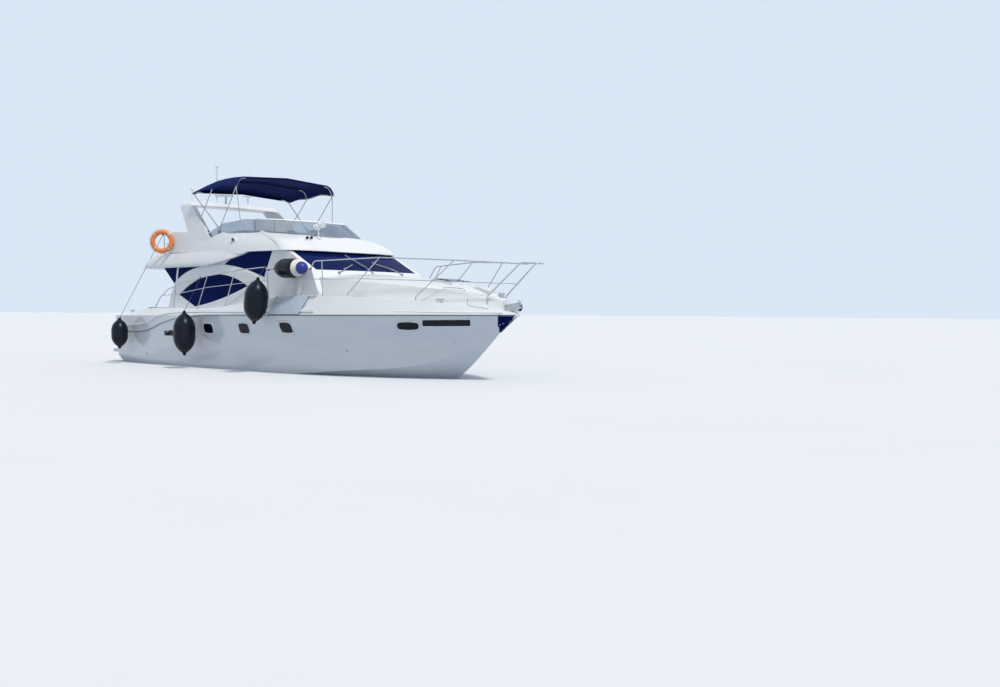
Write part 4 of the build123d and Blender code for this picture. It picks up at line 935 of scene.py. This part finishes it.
# Helm: a dark instrument board with dials, and two throttle levers
board = {"centre": (-0.158, -0.48, 3.538), "size": (0.16, 0.62, 0.018), "edge": 0.007, "tilt": -30.5,
         "dials": ((-0.72, 0.036), (-0.62, 0.036), (-0.5, 0.05), (-0.38, 0.036), (-0.27, 0.036)),
         "levers": (-0.13, -0.09), "knob": [(0.012, -0.016), (0.019, -0.008), (0.019, 0.008), (0.012, 0.016)]}
turn = (0, board["tilt"], 0)
finished(roundedBlock(board["centre"], board["size"], board["edge"], turn), "helmBoard", "blackPlastic")
outward = Vector((math.sin(math.radians(board["tilt"])), 0, math.cos(math.radians(board["tilt"]))))
dials = []
for y, radius in board["dials"]:
    centre = Vector((board["centre"][0], y, board["centre"][2])) + outward * 0.006
    rows = [(radius, 0), (radius, 0.008), (radius * 0.86, 0.011), (radius * 0.8, 0.006)]
    dials.append(turnedForm(rows, 28, centre, outward))
finished(dials, "helmDials", "lensGlass")
levers = [bentBar([(-0.14, y, 3.55), (-0.15, y, 3.62), (-0.19, y, 3.665)], thick=0.008, smoothLine=True)
          for y in board["levers"]]
levers += [turnedForm(board["knob"], 16, (-0.19, y, 3.668), (0, 1, 0)) for y in board["levers"]]
levers.append(roundedBlock((-0.13, -0.11, 3.553), (0.1, 0.11, 0.03), edge=0.01, turn=turn))
finished(levers, "throttleLevers", "polishedSteel")

# Saloon door: a pull handle and a lock case
handle = bentBar([(x, -0.035, z) for x, z in ((-4.205, 1.5), (-4.235, 1.52), (-4.235, 1.78), (-4.205, 1.8))],
                 thick=0.009)
lockCase = roundedBlock((-4.204, -0.035, 1.65), (0.012, 0.045, 0.17), edge=0.004)
finished([handle, lockCase], "doorHandle", "polishedSteel", body="saloon_door")

# Cockpit sole: teak laid round the engine hatch
soleSlabs = (((-5.74, -1.43), (-5.612, 1.43)), ((-4.655, -1.43), (-4.245, 1.43)),
             ((-5.612, -1.43), (-4.655, -0.49)), ((-5.612, 0.49), (-4.655, 0.70)))
slabs = [blockBetween((*low, 0.76), (*high, 0.765), edge=0.0015) for low, high in soleSlabs]
finished(slabs, "cockpitTeak", "teak")

# Hatch catches, lid handle and lifting rings
catches = [roundedBlock((5.2, y, 2.29), (0.09, 0.035, 0.014), edge=0.005, turn=(0, 6.7, 0))
           for y in (-0.2, 0.2)]
finished(catches, "hatchCatches", "polishedSteel", body="foredeck_hatch")
lidHandle = bentBar([(6.5, -0.06, 2.012), (6.506, -0.06, 2.035), (6.506, 0.06, 2.035), (6.5, 0.06, 2.012)],
                    thick=0.006)
finished(lidHandle, "lockerHandle", "polishedSteel", body="anchor_locker_lid")
lifts = [turnedForm([(0.034, 0), (0.034, 0.003), (0.026, 0.004)], 24, (-5.45, y, 0.76)) for y in (0.3, -0.3)]
finished(lifts, "engineHatchLifts", "polishedSteel", body="engine_hatch")
print("deck and helm fitted")

# Floor at the water level, pale and plain
nothingSelected()
bpy.ops.mesh.primitive_plane_add(size=800, location=(0, 0, 0))
floor = bpy.context.object
floor.name = "studioFloor"
floor.data.materials.append(paint["studioFloor"])

# Light: a bright pale room, bluer where it is seen, and one soft sun from high over the bow
light = {"sky": (0.88, 0.94, 1.0, 1), "skyStrength": 0.60, "seen": (0.70, 0.80, 0.92, 1), "seenStrength": 1.0,
         "sun": (1.0, 0.97, 0.93), "sunStrength": 2.1, "softness": 0.12, "from": (0.60, -0.12, 0.79)}
world = bpy.data.worlds.new("studio")
bpy.context.scene.world = world
world.use_nodes = True
tree = world.node_tree
shine = tree.nodes["Background"]
shine.inputs["Color"].default_value = light["sky"]
shine.inputs["Strength"].default_value = light["skyStrength"]
seen = put(tree, "Background", {"Color": light["seen"], "Strength": light["seenStrength"]})
mix = put(tree, "MixShader", {"Fac": seenRays({"tree": tree}), 1: shine.outputs["Background"],
                              2: seen.outputs["Background"]})
give(tree, tree.nodes["World Output"].inputs["Surface"], mix.outputs["Shader"])
bpy.ops.object.light_add(type="SUN", location=(0, 0, 20))
sun = bpy.context.object
sun.rotation_euler = Vector(light["from"]).to_track_quat("Z", "Y").to_euler()
sun.data.energy = light["sunStrength"]
sun.data.color = light["sun"]
sun.data.angle = light["softness"]
bpy.context.scene.view_settings.view_transform = "Standard"
print("floor and light set")
